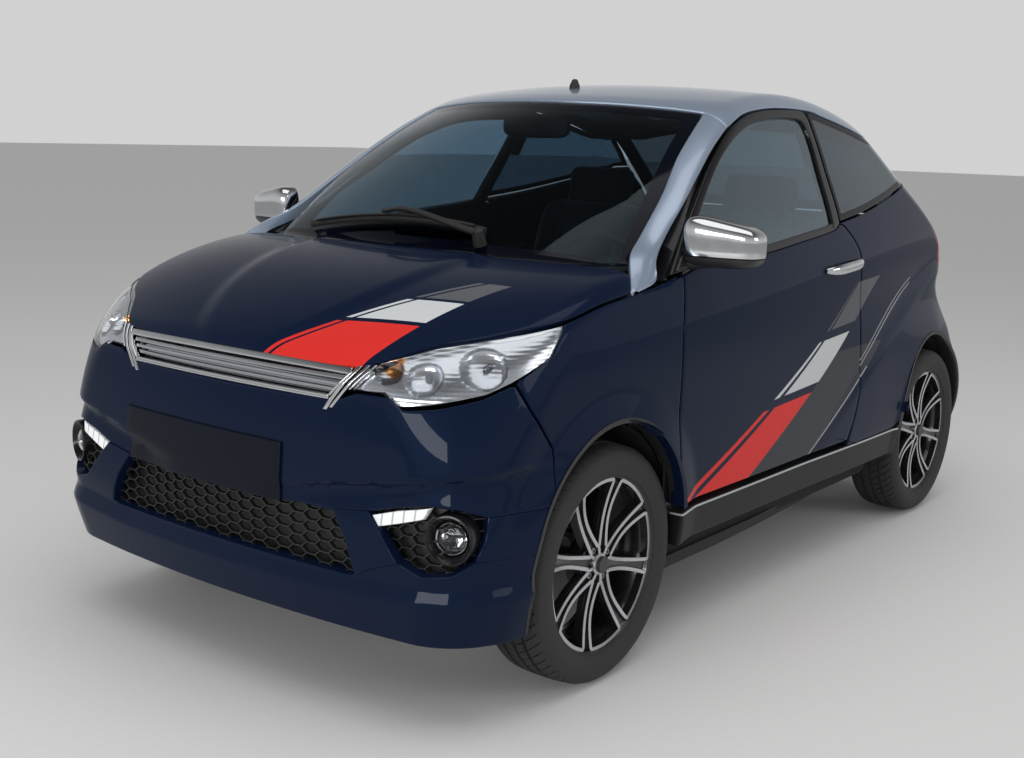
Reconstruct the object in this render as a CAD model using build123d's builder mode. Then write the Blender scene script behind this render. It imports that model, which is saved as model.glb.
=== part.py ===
"""Two-seat microcar, built as separate panels, glasses, wheels and running gear.

Frame in millimetres: Z up, the front faces -Y, the car's own left is +X,
origin on the ground midway between the front and the rear bumper.
"""
import os
from build123d import *

os.makedirs("parts", exist_ok=True)

# ---------------------------------------------------------------- sizes
WALL = 42                # thickness of doors, lids and side walls
GLASS_OUT = 5            # the glass lies this far under the body surface
GLASS_T = 10             # thickness of every glass
GAP = 6                  # gap round the panels that move
FIT = 1                  # gap between neighbouring fixed panels
FLARE_OUT = 15           # how far the wheel arches stand out of the sides

FRONT_AXLE_Y = -935
REAR_AXLE_Y = 1065
WHEEL_Z = 286            # axle height, equal to the tyre's radius
WHEEL_X = 640            # middle plane of each tyre
KINGPIN_X = 600          # steering axis of each front wheel
SPINDLE_R = 20
RUNNING = 0.05           # radial running clearance of hub on spindle

# Plan outline of the body at some heights:
# z, half width, front corner x, front y, front bulge,
# rear corner x, rear y, rear bulge, front corner radius, rear corner radius
PLAN_ROWS = [
    (150, 700, 660, -1440, 50, 670, 1440, 50, 110, 120),
    (350, 726, 705, -1486, 55, 718, 1482, 60, 130, 120),
    (600, 738, 708, -1480, 60, 690, 1490, 70, 170, 160),
    (780, 734, 700, -1462, 65, 635, 1475, 80, 260, 230),
    (920, 717, 680, -1450, 80, 658, 1460, 90, 310, 200),
    (1010, 697, 655, -1440, 90, 645, 1440, 100, 330, 210),
    (1200, 612, 570, -1420, 90, 560, 1380, 110, 300, 240),
    (1460, 490, 450, -1400, 90, 440, 1300, 110, 250, 220),
]
# Distances from the middle at which the lengthwise profile is drawn
PROFILE_X = [-760, -500, -250, 0, 250, 500, 760]

# Side outlines as (y, z)
DOOR = [(-635, 372), (-648, 500), (-664, 700), (-674, 850), (-686, 945), (-635, 994), (-542, 1078),
        (-402, 1183), (-300, 1243), (-190, 1295), (-76, 1334), (46, 1353), (184, 1360), (326, 1360),
        (333, 1320), (328, 1212), (296, 1042), (330, 1023), (395, 972), (415, 922), (425, 750),
        (420, 560), (395, 450), (360, 372)]
DOOR_WINDOW = [(-560, 976), (-535, 1046), (-400, 1150), (-282, 1224), (-150, 1284), (-46, 1313),
               (120, 1331), (268, 1330), (292, 1300), (290, 1230), (252, 1040), (240, 1023),
               (18, 1004), (-189, 986), (-400, 976)]
ROOF_EDGE = [(-861, 909), (-753, 928), (-700, 955), (-635, 998), (-542, 1081), (-402, 1187), (-300, 1247),
             (-190, 1299), (-76, 1338), (46, 1357), (184, 1364), (373, 1363), (465, 1347),
             (608, 1323), (735, 1300), (866, 1282)]
HOOD_EDGE = [(-1520, 766), (-1450, 769), (-1396, 789), (-1322, 822), (-1248, 845), (-1110, 872),
             (-981, 899), (-870, 914), (-790, 1004)]
QUARTER_GLASS = [(368, 1342), (465, 1340), (608, 1316), (735, 1293), (866, 1276), (1500, 1276), (1500, 1190),
                 (1150, 1165), (942, 1132), (729, 1092), (522, 1060), (338, 1042)]
BUMPER_SIDE = [(-1600, 195), (-1175, 195), (-1175, 609), (-1242, 696), (-1273, 754), (-1300, 800),
               (-1600, 800)]
FENDER_SIDE = [(-1600, 268), (-640, 268), (-640, 960), (-1600, 960)]
SILL_SIDE = [(-620, 262), (740, 262), (740, 352), (-620, 352)]
QUARTER_SIDE = [(340, 268), (1600, 268), (1600, 1330), (700, 1330), (310, 1375), (310, 1000)]
REAR_BUMPER_SIDE = [(1600, 195), (1600, 590), (1345, 600), (1290, 520), (1290, 195)]
TAIL_LAMP_SIDE = [(1200, 985), (1600, 985), (1600, 800), (1240, 800), (1190, 880)]

# Front and rear outlines as (x, z)
WINDSCREEN_HALF = [(612, 850), (604, 985), (586, 1060), (560, 1160), (528, 1250), (490, 1338), (250, 1358)]
HEADLAMP = [(396, 728), (404, 772), (442, 785), (504, 808), (607, 838), (680, 862), (694, 850), (690, 800),
            (678, 757), (652, 733), (588, 713), (520, 705), (486, 728)]
GRILLE_UPPER = [(-376, 762), (376, 762), (332, 704), (-332, 704)]
GRILLE_LOWER = [(-352, 452), (352, 452), (392, 404), (414, 345), (400, 330), (-400, 330), (-414, 345), (-392, 404)]
FOG_RECESS = [(452, 462), (596, 502), (684, 468), (682, 410), (652, 372), (590, 364), (540, 386)]
TAILGATE_HALF = [(470, 596), (562, 780), (562, 1000), (534, 1150), (492, 1300), (480, 1420)]
REAR_GLASS_HALF = [(520, 1000), (497, 1150), (462, 1262), (250, 1282)]


# ---------------------------------------------------------------- master surfaces
def plan_outline(row, inset):
    """Closed outline at one height: four arcs with rounded corners."""
    z, half, front_x, front_y, front_bulge, rear_x, rear_y, rear_bulge, front_r, rear_r = row
    half, front_x, rear_x = half - inset, front_x - inset, rear_x - inset
    front_y, rear_y = front_y + inset, rear_y - inset
    front_left = (front_x, front_y + front_bulge)
    front_right = (-front_x, front_y + front_bulge)
    rear_left = (rear_x, rear_y - rear_bulge)
    rear_right = (-rear_x, rear_y - rear_bulge)
    with BuildSketch(Plane.XY.offset(z)) as outline:
        with BuildLine():
            ThreePointArc(front_right, (0, front_y), front_left)
            ThreePointArc(front_left, (half, -50), rear_left)
            ThreePointArc(rear_left, (0, rear_y), rear_right)
            ThreePointArc(rear_right, (-half, -50), front_right)
        make_face()
        corners = outline.vertices().sort_by(Axis.Y)
        fillet(corners[:2], front_r)
        fillet(corners[2:], rear_r)
    return outline.sketch


def length_profile(x, inset):
    """Profile of hood, windscreen, roof, rear glass and tail at one distance from the middle."""
    s = (x / 630) ** 2
    h = (x / 500) ** 2
    nose = (-1600, 675 - 100 * s - inset)
    hood_mid = (-1230 + 0.3 * inset, 893 - 22 * s - 22 * s * s - inset)
    cowl = (-900 + 130 * s + 0.7 * inset, 972 + 5 * s - 12 * s * s - inset)
    header = (-370 + 160 * h - 12 * h * h + 0.45 * inset, 1360 - 24 * h - inset)
    screen_mid = ((cowl[0] + header[0]) / 2 - 7, (cowl[1] + header[1]) / 2 + 10)
    crown = (20, 1420 - 32 * h - inset)
    roof_end = (860 - 45 * h - 0.4 * inset, 1350 - 42 * h - inset)
    deck = (1375 - 40 * s - 0.9 * inset, 985 - 20 * s - 0.5 * inset)
    glass_mid = ((roof_end[0] + deck[0]) / 2 + 9, (roof_end[1] + deck[1]) / 2 + 12)
    tail_mid = (deck[0] + 90, deck[1] - 60)
    tail = (deck[0] + 145, deck[1] - 190)
    with BuildSketch(Plane.YZ.offset(x)) as profile:
        with BuildLine():
            ThreePointArc(nose, hood_mid, cowl)
            ThreePointArc(cowl, screen_mid, header)
            ThreePointArc(header, crown, roof_end)
            ThreePointArc(roof_end, glass_mid, deck)
            ThreePointArc(deck, tail_mid, tail)
            Line(tail, (tail[0], 100 + inset))
            Line((tail[0], 100 + inset), (nose[0], 100 + inset))
            Line((nose[0], 100 + inset), nose)
        make_face()
    return profile.sketch


def body_solid(inset):
    """The whole outer body as one block, shrunk by inset."""
    with BuildPart() as across:
        for x in PROFILE_X:
            add(length_profile(x, inset))
        loft()
    with BuildPart() as block:
        for row in PLAN_ROWS:
            add(plan_outline(row, inset))
        loft()
        add(across.part, mode=Mode.INTERSECT)
    return block.part


def side_prism(points, x0, x1, grow=0):
    """A (y, z) outline drawn out along X."""
    with BuildPart() as prism:
        with BuildSketch(Plane.YZ.offset(x0)):
            with BuildLine():
                Polyline(*points, close=True)
            make_face()
            if grow:
                offset(amount=grow, kind=Kind.INTERSECTION)
        extrude(amount=x1 - x0)
    return prism.part


def front_prism(points, y0, y1, grow=0):
    """An (x, z) outline drawn out along Y."""
    with BuildPart() as prism:
        with BuildSketch(Plane(origin=(0, y0, 0), x_dir=(1, 0, 0), z_dir=(0, -1, 0))):
            with BuildLine():
                Polyline(*points, close=True)
            make_face()
            if grow:
                offset(amount=grow, kind=Kind.INTERSECTION)
        extrude(amount=-(y1 - y0))
    return prism.part


def both_halves(points):
    """Half an outline, from its foot up, closed over the middle."""
    return points + [(-x, z) for x, z in reversed(points)]


def box_at(x0, x1, y0, y1, z0, z1):
    """A plain box between two corners."""
    with BuildPart() as block:
        with Locations(((x0 + x1) / 2, (y0 + y1) / 2, (z0 + z1) / 2)):
            Box(x1 - x0, y1 - y0, z1 - z0)
    return block.part


def hood_prism(grow):
    """Everything above the hood seam and ahead of the windscreen's foot."""
    edge = HOOD_EDGE + [(-790, 1150), (-1520, 1150)]
    with BuildPart() as prism:
        add(side_prism(edge, -800, 800, grow))
        with BuildSketch(Plane.XY.offset(700)):
            with BuildLine():
                rear_y = -912 + grow
                Polyline((-760, -778 + grow), (-760, -1700), (760, -1700), (760, -778 + grow))
                ThreePointArc((760, -778 + grow), (0, rear_y), (-760, -778 + grow))
            make_face()
        extrude(amount=500, mode=Mode.INTERSECT)
    return prism.part


def tailgate_prism(grow):
    """Everything inside the tailgate seam, behind the roof."""
    half = [(x + grow, z) for x, z in TAILGATE_HALF]
    half[0] = (half[0][0], half[0][1] - grow)
    return front_prism(both_halves(half), 874 - grow, 1600)


def arch_cut(centre_y):
    """Wheel arches of one axle: an oval through the skin and a wider round house behind it."""
    with BuildPart() as cut:
        for x0, x1 in ((300, 900), (-900, -300)):
            with BuildSketch(Plane.YZ.offset(x0)):
                with Locations((centre_y, 290)):
                    Ellipse(304, 340)
            extrude(amount=x1 - x0)
            with BuildSketch(Plane.YZ.offset(x0)):
                with Locations((centre_y, 290)):
                    Rectangle(560, 700, align=(Align.CENTER, Align.MAX))
            extrude(amount=x1 - x0)
        for x0, x1 in ((395, 672), (-672, -395)):
            with BuildSketch(Plane.YZ.offset(x0)):
                with Locations((centre_y, WHEEL_Z)):
                    Circle(332)
            extrude(amount=x1 - x0)
    return cut.part


def arch_flares(centre_y):
    """Bands standing out round the wheel openings of one axle, sloping back into the sides."""
    with BuildPart() as bands:
        for turn in (1, -1):
            with BuildPart(mode=Mode.PRIVATE) as band:
                for x, across, up in ((690, 400, 436), (770, 304, 340)):
                    with BuildSketch(Plane.YZ.offset(turn * x)):
                        with Locations((centre_y, 290)):
                            Ellipse(across, up)
                loft()
            add(band.part)
        add(grown, mode=Mode.INTERSECT)
        add(flare_core, mode=Mode.SUBTRACT)
    return bands.part


def save(piece, name):
    """Label one piece and write it out."""
    piece.label = name
    export_step(piece, "parts/" + name + ".step")


outer = body_solid(0)
inner = body_solid(WALL)
with BuildPart() as shell:
    add(outer)
    add(inner, mode=Mode.SUBTRACT)
with BuildPart() as glass_shell:
    add(body_solid(GLASS_OUT))
    add(body_solid(GLASS_OUT + GLASS_T), mode=Mode.SUBTRACT)
core = body_solid(WALL + 3)

roof_outline = ROOF_EDGE + [(866, 1500), (-861, 1500)]
screen_outline = both_halves(WINDSCREEN_HALF[:-1] + [(250, 1358), (60, 1363)])
grown = body_solid(-FLARE_OUT)
flare_core = body_solid(WALL / 2)
front_arches = arch_cut(FRONT_AXLE_Y)
rear_arches = arch_cut(REAR_AXLE_Y)
front_flares = arch_flares(FRONT_AXLE_Y)
rear_flares = arch_flares(REAR_AXLE_Y)

door_block = side_prism(DOOR, 300, 900)
door_room = side_prism(DOOR, 300, 900, GAP)
# the door swings rearward a little at its window frame, so its rear edge gets more room there
door_rear_room = side_prism([(300, 1046), (312, 1046), (343, 1210), (349, 1320), (349, 1372), (320, 1372)], 300, 900)
hood_room = hood_prism(GAP)
tailgate_room = tailgate_prism(GAP)
roof_room = side_prism(roof_outline, -900, 900, FIT)
glass_room = side_prism(QUARTER_GLASS, 300, 900, FIT)
lamp_room = side_prism(TAIL_LAMP_SIDE, 568, 900, FIT)
rear_bumper_room = side_prism(REAR_BUMPER_SIDE, -900, 900, FIT)

# ---------------------------------------------------------------- doors
with BuildPart() as door_left:
    add(shell.part)
    add(door_block, mode=Mode.INTERSECT)
    add(side_prism(DOOR_WINDOW, 300, 900), mode=Mode.SUBTRACT)
with BuildPart() as door_glass_left:
    add(glass_shell.part)
    add(side_prism(DOOR_WINDOW, 300, 900, -FIT), mode=Mode.INTERSECT)
with BuildPart() as mirror_left:
    with Locations((806, -566, 1020)):
        Box(136, 118, 116)
    fillet(mirror_left.edges().filter_by(Axis.Y), 30)
    fillet(mirror_left.faces().sort_by(Axis.Y)[0].edges(), 25)
    add(box_at(690, 760, -600, -545, 968, 1000))
    add(box_at(300, 712, -700, -500, 900, 1060), mode=Mode.SUBTRACT)
with BuildPart() as handle_left:
    with Locations((742, 240, 922)):
        Box(20, 200, 26)
    fillet(handle_left.edges().filter_by(Axis.X), 8)
    with Locations((724, 160, 922), (724, 320, 922)):
        Box(20, 24, 18)
    add(outer, mode=Mode.SUBTRACT)

# ---------------------------------------------------------------- hood, tailgate
with BuildPart() as hood:
    add(shell.part)
    add(hood_prism(0), mode=Mode.INTERSECT)
with BuildPart() as tailgate:
    add(shell.part)
    add(tailgate_prism(0), mode=Mode.INTERSECT)
    add(front_prism(both_halves(REAR_GLASS_HALF), 800, 1480), mode=Mode.SUBTRACT)
with BuildPart() as tailgate_glass:
    add(glass_shell.part)
    add(front_prism(both_halves(REAR_GLASS_HALF), 874, 1480, -FIT), mode=Mode.INTERSECT)

# ---------------------------------------------------------------- fixed front
with BuildPart() as headlamps:
    add(shell.part)
    add(front_prism(HEADLAMP, -1600, -1095), mode=Mode.INTERSECT)
    add(hood_room, mode=Mode.SUBTRACT)
    mirror(about=Plane.YZ)
headlamp_room_left = front_prism(HEADLAMP, -1600, -1095, FIT)
with BuildPart() as headlamp_room:
    add(headlamp_room_left)
    mirror(about=Plane.YZ)
with BuildPart() as fog_room:
    add(front_prism(FOG_RECESS, -1600, -1200))
    mirror(about=Plane.YZ)
with BuildPart() as front_bumper:
    add(shell.part)
    add(front_flares)
    add(side_prism(BUMPER_SIDE, -900, 900), mode=Mode.INTERSECT)
    add(hood_room, mode=Mode.SUBTRACT)
    add(headlamp_room.part, mode=Mode.SUBTRACT)
    add(front_prism(GRILLE_UPPER, -1600, -1200, FIT), mode=Mode.SUBTRACT)
    add(front_prism(GRILLE_LOWER, -1600, -1200, FIT), mode=Mode.SUBTRACT)
    add(fog_room.part, mode=Mode.SUBTRACT)
    add(front_arches, mode=Mode.SUBTRACT)
with BuildPart() as upper_grille:
    add(shell.part)
    add(front_prism(GRILLE_UPPER, -1600, -1200), mode=Mode.INTERSECT)
    add(hood_room, mode=Mode.SUBTRACT)
with BuildPart() as lower_grille:
    add(shell.part)
    add(front_prism(GRILLE_LOWER, -1600, -1200), mode=Mode.INTERSECT)
with BuildPart() as fog_lamps:
    with Locations(Plane(origin=(630, -1385, 437), z_dir=(0.3, -0.95, 0))):
        Cylinder(36, 60)
    add(outer, mode=Mode.INTERSECT)
    mirror(about=Plane.YZ)
with BuildPart() as fenders:
    add(shell.part)
    add(front_flares)
    add(side_prism(FENDER_SIDE, 605, 900), mode=Mode.INTERSECT)
    add(side_prism(BUMPER_SIDE, -900, 900, FIT), mode=Mode.SUBTRACT)
    add(box_at(-900, 900, -1700, -1172, 100, 609), mode=Mode.SUBTRACT)
    add(door_room, mode=Mode.SUBTRACT)
    add(hood_room, mode=Mode.SUBTRACT)
    add(headlamp_room.part, mode=Mode.SUBTRACT)
    add(roof_room, mode=Mode.SUBTRACT)
    add(front_arches, mode=Mode.SUBTRACT)
    add(box_at(300, 900, -1600, -1290, 100, 1200), mode=Mode.SUBTRACT)
    mirror(about=Plane.YZ)

# ---------------------------------------------------------------- fixed upper body
with BuildPart() as roof:
    add(shell.part)
    add(side_prism(roof_outline, -900, 900), mode=Mode.INTERSECT)
    add(front_prism(screen_outline, -1600, 0), mode=Mode.SUBTRACT)
    add(hood_room, mode=Mode.SUBTRACT)
    add(door_room, mode=Mode.SUBTRACT)
    add(door_room.mirror(Plane.YZ), mode=Mode.SUBTRACT)
with BuildPart() as windscreen:
    add(glass_shell.part)
    add(front_prism(screen_outline, -1600, 0, -FIT), mode=Mode.INTERSECT)
    add(hood_room, mode=Mode.SUBTRACT)
    add(box_at(-900, 900, -1700, -800, 0, 955), mode=Mode.SUBTRACT)
with BuildPart() as quarter_glasses:
    add(glass_shell.part)
    add(side_prism(QUARTER_GLASS, 300, 900), mode=Mode.INTERSECT)
    add(tailgate_prism(GAP + 4), mode=Mode.SUBTRACT)
    mirror(about=Plane.YZ)
with BuildPart() as rear_quarters:
    add(shell.part)
    add(rear_flares)
    add(side_prism(QUARTER_SIDE, 300, 900), mode=Mode.INTERSECT)
    add(door_room, mode=Mode.SUBTRACT)
    add(door_rear_room, mode=Mode.SUBTRACT)
    add(glass_room, mode=Mode.SUBTRACT)
    add(roof_room, mode=Mode.SUBTRACT)
    add(tailgate_room, mode=Mode.SUBTRACT)
    add(lamp_room, mode=Mode.SUBTRACT)
    add(rear_bumper_room, mode=Mode.SUBTRACT)
    add(rear_arches, mode=Mode.SUBTRACT)
    add(side_prism(SILL_SIDE, 300, 900, FIT), mode=Mode.SUBTRACT)
    mirror(about=Plane.YZ)
with BuildPart() as sills:
    add(shell.part)
    add(front_flares)
    add(rear_flares)
    add(side_prism(SILL_SIDE, 300, 900), mode=Mode.INTERSECT)
    add(front_arches, mode=Mode.SUBTRACT)
    add(rear_arches, mode=Mode.SUBTRACT)
    mirror(about=Plane.YZ)
with BuildPart() as rear_bumper:
    add(shell.part)
    add(rear_flares)
    add(side_prism(REAR_BUMPER_SIDE, -900, 900), mode=Mode.INTERSECT)
    add(tailgate_room, mode=Mode.SUBTRACT)
    add(rear_arches, mode=Mode.SUBTRACT)
with BuildPart() as tail_lamps:
    add(shell.part)
    add(side_prism(TAIL_LAMP_SIDE, 569, 900), mode=Mode.INTERSECT)
    add(tailgate_room, mode=Mode.SUBTRACT)
    mirror(about=Plane.YZ)

# ---------------------------------------------------------------- floor, engine, cabin
with BuildPart() as floor_pan:
    add(box_at(-672, 672, -590, 745, 185, 215))
    for side in (-1, 1):
        add(box_at(side * 330 - 35, side * 330 + 35, -1420, -590, 215, 300))
        add(box_at(side * 330 - 35, side * 330 + 35, 700, 1400, 215, 300))
    add(box_at(-380, 380, 745, 1400, 300, 340))
    add(box_at(-380, 380, -1400, -1330, 240, 420))
    add(box_at(-600, 600, -700, -680, 215, 880))
    add(core, mode=Mode.INTERSECT)
    add(front_arches, mode=Mode.SUBTRACT)
    add(rear_arches, mode=Mode.SUBTRACT)
with BuildPart() as engine:
    add(box_at(-260, 260, -1240, -800, 302, 700))
    fillet(engine.edges().filter_by(Axis.X), 30)
with BuildPart() as dashboard:
    add(box_at(-640, 640, -679, -420, 620, 895))
    chamfer(dashboard.edges().filter_by(Axis.X).sort_by(Axis.Z)[-1], 60)
    add(core, mode=Mode.INTERSECT)
with BuildPart() as seats:
    for x in (-310, 310):
        add(box_at(x - 235, x + 235, -190, 300, 300, 440))
        with BuildSketch(Plane.YZ.offset(x - 225)):
            with BuildLine():
                Polyline((300, 380), (390, 420), (560, 1010), (530, 1160), (480, 1160), (445, 1000),
                         (290, 450), (300, 380))
            make_face()
        extrude(amount=450)
        add(box_at(x - 200, x + 200, -120, 260, 216, 300))
with BuildPart() as steering_wheel:
    with Locations(Plane(origin=(310, -330, 850), z_dir=(0, 0.88, 0.47))):
        Torus(172, 13)
        Cylinder(45, 40)
        Box(340, 30, 14)
        with Locations((0, 0, -50)):
            Cylinder(17, 66)
with BuildPart() as cowl:
    add(box_at(-600, 600, -905, -760, 830, 905))
    add(core, mode=Mode.INTERSECT)

# ---------------------------------------------------------------- wiper and antenna
with BuildPart() as wiper:
    with Locations(Plane(origin=(-60, -868, 1026), x_dir=(0.98, 0.05, -0.02), z_dir=(0, -0.68, 0.73))):
        Box(620, 24, 18)
    with Locations((250, -868, 1016)):
        Cylinder(18, 36)
with BuildPart() as antenna:
    with Locations((0, -116, 1432)):
        Cone(14, 8, 36)

# ---------------------------------------------------------------- suspension
with BuildPart() as front_suspension:
    for side in (-1, 1):
        add(box_at(side * 425 - 57, side * 425 + 57, -965, -905, 160, 190))
        with Locations((side * 520, FRONT_AXLE_Y, 700)):
            Cylinder(26, 180)
        with Locations((side * 520, FRONT_AXLE_Y, 800)):
            Cylinder(50, 30)
with BuildPart() as rear_suspension:
    for side in (-1, 1):
        add(box_at(side * 505 - 22, side * 505 + 22, 790, 1110, 250, 322))
        add(box_at(side * 440 - 60, side * 440 + 60, 790, 830, 262, 312))
        with BuildSketch(Plane.YZ.offset(side * 520)):
            with Locations((REAR_AXLE_Y, WHEEL_Z)):
                Circle(SPINDLE_R)
        extrude(amount=side * 190)

with BuildPart() as knuckle_left:
    add(box_at(503, 543, FRONT_AXLE_Y - 30, FRONT_AXLE_Y + 30, 165, 595))
    with BuildSketch(Plane.YZ.offset(540)):
        with Locations((FRONT_AXLE_Y, WHEEL_Z)):
            Circle(42)
    extrude(amount=45)
    with BuildSketch(Plane.YZ.offset(580)):
        with Locations((FRONT_AXLE_Y, WHEEL_Z)):
            Circle(SPINDLE_R)
    extrude(amount=130)

# ---------------------------------------------------------------- wheels
RIM_PROFILE = [  # (x, radius): flange, barrel, inner flange
    (722, 218), (722, 212), (700, 196), (580, 190), (562, 212), (556, 212), (556, 218), (564, 218),
    (572, 205), (706, 205), (714, 218)]
HUB_PROFILE = [  # hub, brake disc and its bell, all turning with the wheel
    (708, SPINDLE_R + RUNNING), (708, 70), (660, 70), (630, 60), (612, 126), (600, 126), (600, 60),
    (592, 60), (592, SPINDLE_R + RUNNING)]
TYRE_PROFILE = [
    (-62, 206), (62, 206), (66, 222), (87, 246), (82, 272), (62, 286), (-62, 286), (-82, 272), (-87, 246),
    (-66, 222)]
SPOKES = 8


def wheel_rim(side, axle_y):
    """Rim with hub and brake disc: turned profiles joined by twin spokes."""
    with BuildPart() as rim:
        for outline in (RIM_PROFILE, HUB_PROFILE):
            with BuildSketch(Plane.XY):
                with BuildLine():
                    Polyline(*outline, close=True)
                make_face()
            revolve(axis=Axis.X)
        with BuildSketch(Plane.YZ.offset(690)):
            with PolarLocations(0, SPOKES):
                with Locations((130, 0)):
                    Rectangle(138, 34)
        extrude(amount=16)
        with BuildSketch(Plane.YZ.offset(685)):
            with PolarLocations(0, SPOKES):
                with Locations((142, 0)):
                    Rectangle(84, 9)
        extrude(amount=30, mode=Mode.SUBTRACT)
        with BuildSketch(Plane.YZ.offset(500)):
            Circle(SPINDLE_R + RUNNING)
        extrude(amount=300, mode=Mode.SUBTRACT)
    return placed_wheel(rim.part, side, axle_y)


def wheel_tyre(side, axle_y):
    """Tyre as one turned ring."""
    with BuildPart() as tyre:
        with BuildSketch(Plane.XY):
            with BuildLine():
                Polyline(*[(WHEEL_X + x, r) for x, r in TYRE_PROFILE], close=True)
            make_face()
        revolve(axis=Axis.X)
    return placed_wheel(tyre.part, side, axle_y)


def placed_wheel(piece, side, axle_y):
    """Set a left wheel piece on its axle, mirrored for the right side."""
    turned = piece if side > 0 else piece.mirror(Plane.YZ)
    return turned.moved(Location((0, axle_y, WHEEL_Z)))


# ---------------------------------------------------------------- write everything
FIXED_AND_LIDS = [
    ("floor_pan", floor_pan), ("engine", engine), ("dashboard", dashboard), ("seats", seats),
    ("front_bumper", front_bumper), ("lower_grille", lower_grille), ("upper_grille", upper_grille),
    ("headlamps", headlamps), ("fog_lamps", fog_lamps), ("fenders", fenders), ("cowl", cowl),
    ("windscreen", windscreen), ("wiper", wiper), ("roof", roof), ("sills", sills),
    ("rear_quarters", rear_quarters), ("quarter_glasses", quarter_glasses), ("rear_bumper", rear_bumper),
    ("tail_lamps", tail_lamps), ("antenna", antenna), ("front_suspension", front_suspension),
    ("rear_suspension", rear_suspension), ("steering_wheel", steering_wheel), ("hood", hood),
    ("tailgate", tailgate), ("tailgate_glass", tailgate_glass)]
for name, piece in FIXED_AND_LIDS:
    save(piece.part, name)

SIDED = [("door", door_left), ("door_glass", door_glass_left), ("mirror", mirror_left),
         ("handle", handle_left), ("knuckle", knuckle_left)]
for name, piece in SIDED:
    save(piece.part, name + "_left")
    save(piece.part.mirror(Plane.YZ), name + "_right")

WHEELS = [("front_left", 1, FRONT_AXLE_Y), ("front_right", -1, FRONT_AXLE_Y),
          ("rear_left", 1, REAR_AXLE_Y), ("rear_right", -1, REAR_AXLE_Y)]
for name, side, axle_y in WHEELS:
    save(wheel_rim(side, axle_y), "rim_" + name)
    save(wheel_tyre(side, axle_y), "tyre_" + name)
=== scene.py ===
import bmesh
import bpy
import numpy as np
from mathutils import Matrix, Vector


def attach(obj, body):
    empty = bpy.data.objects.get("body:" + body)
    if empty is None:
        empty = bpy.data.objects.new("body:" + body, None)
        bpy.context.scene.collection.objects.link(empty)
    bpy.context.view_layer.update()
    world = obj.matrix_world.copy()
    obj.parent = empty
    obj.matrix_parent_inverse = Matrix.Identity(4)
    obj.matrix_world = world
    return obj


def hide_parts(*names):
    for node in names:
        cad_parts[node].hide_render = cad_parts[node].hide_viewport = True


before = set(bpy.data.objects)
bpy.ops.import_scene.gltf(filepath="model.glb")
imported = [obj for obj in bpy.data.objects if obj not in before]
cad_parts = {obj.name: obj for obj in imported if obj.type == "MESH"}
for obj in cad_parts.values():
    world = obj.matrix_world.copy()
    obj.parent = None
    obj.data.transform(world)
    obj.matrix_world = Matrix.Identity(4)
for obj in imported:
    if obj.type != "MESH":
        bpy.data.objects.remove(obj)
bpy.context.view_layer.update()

# ---------------------------------------------------------------------------------------
# Hood: one moulded lid in thick gloss-lacquered sheet, hinged at the windscreen's foot.
# Its edge runs over the grille and the lamps and then low along both sides; three blocks
# of film stripe climb it on the car's left.

# Plan outline of the body at some heights, in metres: height, half width, front corner x,
# front y, front bulge, rear corner x, rear y, rear bulge, front and rear corner radius.
PLAN_ROWS = np.array([
    (0.150, 0.700, 0.660, -1.440, 0.050, 0.670, 1.440, 0.050, 0.110, 0.120),
    (0.350, 0.726, 0.705, -1.486, 0.055, 0.718, 1.482, 0.060, 0.130, 0.120),
    (0.600, 0.738, 0.708, -1.480, 0.060, 0.690, 1.490, 0.070, 0.170, 0.160),
    (0.780, 0.734, 0.700, -1.462, 0.065, 0.635, 1.475, 0.080, 0.260, 0.230),
    (0.920, 0.717, 0.680, -1.450, 0.080, 0.658, 1.460, 0.090, 0.310, 0.200),
    (1.010, 0.697, 0.655, -1.440, 0.090, 0.645, 1.440, 0.100, 0.330, 0.210),
    (1.200, 0.612, 0.570, -1.420, 0.090, 0.560, 1.380, 0.110, 0.300, 0.240),
    (1.460, 0.490, 0.450, -1.400, 0.090, 0.440, 1.300, 0.110, 0.250, 0.220)])
WHEEL_HEIGHT = 0.286
FRONT_AXLE = -0.935
REAR_AXLE = 1.065
FLARE_OUT = 0.02          # how far the arches stand out of the sides
FLARE_IN, FLARE_EDGE = 0.325, 0.418


def plan_row(height):
    """The plan outline's nine sizes at any height: cubic curves through the table's rows,
    with each row's slope taken from its two neighbours."""
    levels, sizes = PLAN_ROWS[:, 0], PLAN_ROWS[:, 1:]
    slope = np.gradient(sizes, levels, axis=0)
    height = np.clip(height, levels[0], levels[-1])
    i = np.clip(np.searchsorted(levels, height) - 1, 0, len(levels) - 2)
    step = levels[i + 1] - levels[i]
    t = ((height - levels[i]) / step)[..., None]
    step = step[..., None]
    out = ((1 + 2 * t) * (1 - t) ** 2 * sizes[i] + t * (1 - t) ** 2 * step * slope[i]
           + t * t * (3 - 2 * t) * sizes[i + 1] + t * t * (t - 1) * step * slope[i + 1])
    return np.moveaxis(out, -1, 0)


def circle_through(u0, v0, u1, v1, u2, v2):
    """Centre and radius of the circle through three points, from the two chords' middle lines."""
    a, b, c, d = u1 - u0, v1 - v0, u2 - u0, v2 - v0
    e, f = a * (u0 + u1) + b * (v0 + v1), c * (u0 + u2) + d * (v0 + v2)
    g = 2 * (a * (v2 - v1) - b * (u2 - u1))
    cu, cv = (d * e - b * f) / g, (a * f - c * e) / g
    return cu, cv, np.hypot(u0 - cu, v0 - cv)


def round_join(a, b, radius):
    """The greater of two distances, with the ridge between them rounded to a radius."""
    near = (a > -radius) & (b > -radius)
    rounded = np.hypot(np.maximum(a + radius, 0), np.maximum(b + radius, 0)) - radius
    return np.where(near, rounded, np.maximum(a, b))


def ridge(distance, width):
    """One along a line, falling off to both sides as a soft tent of the given width."""
    return np.exp(0.3 - np.sqrt((distance / width) ** 2 + 0.09))


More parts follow.
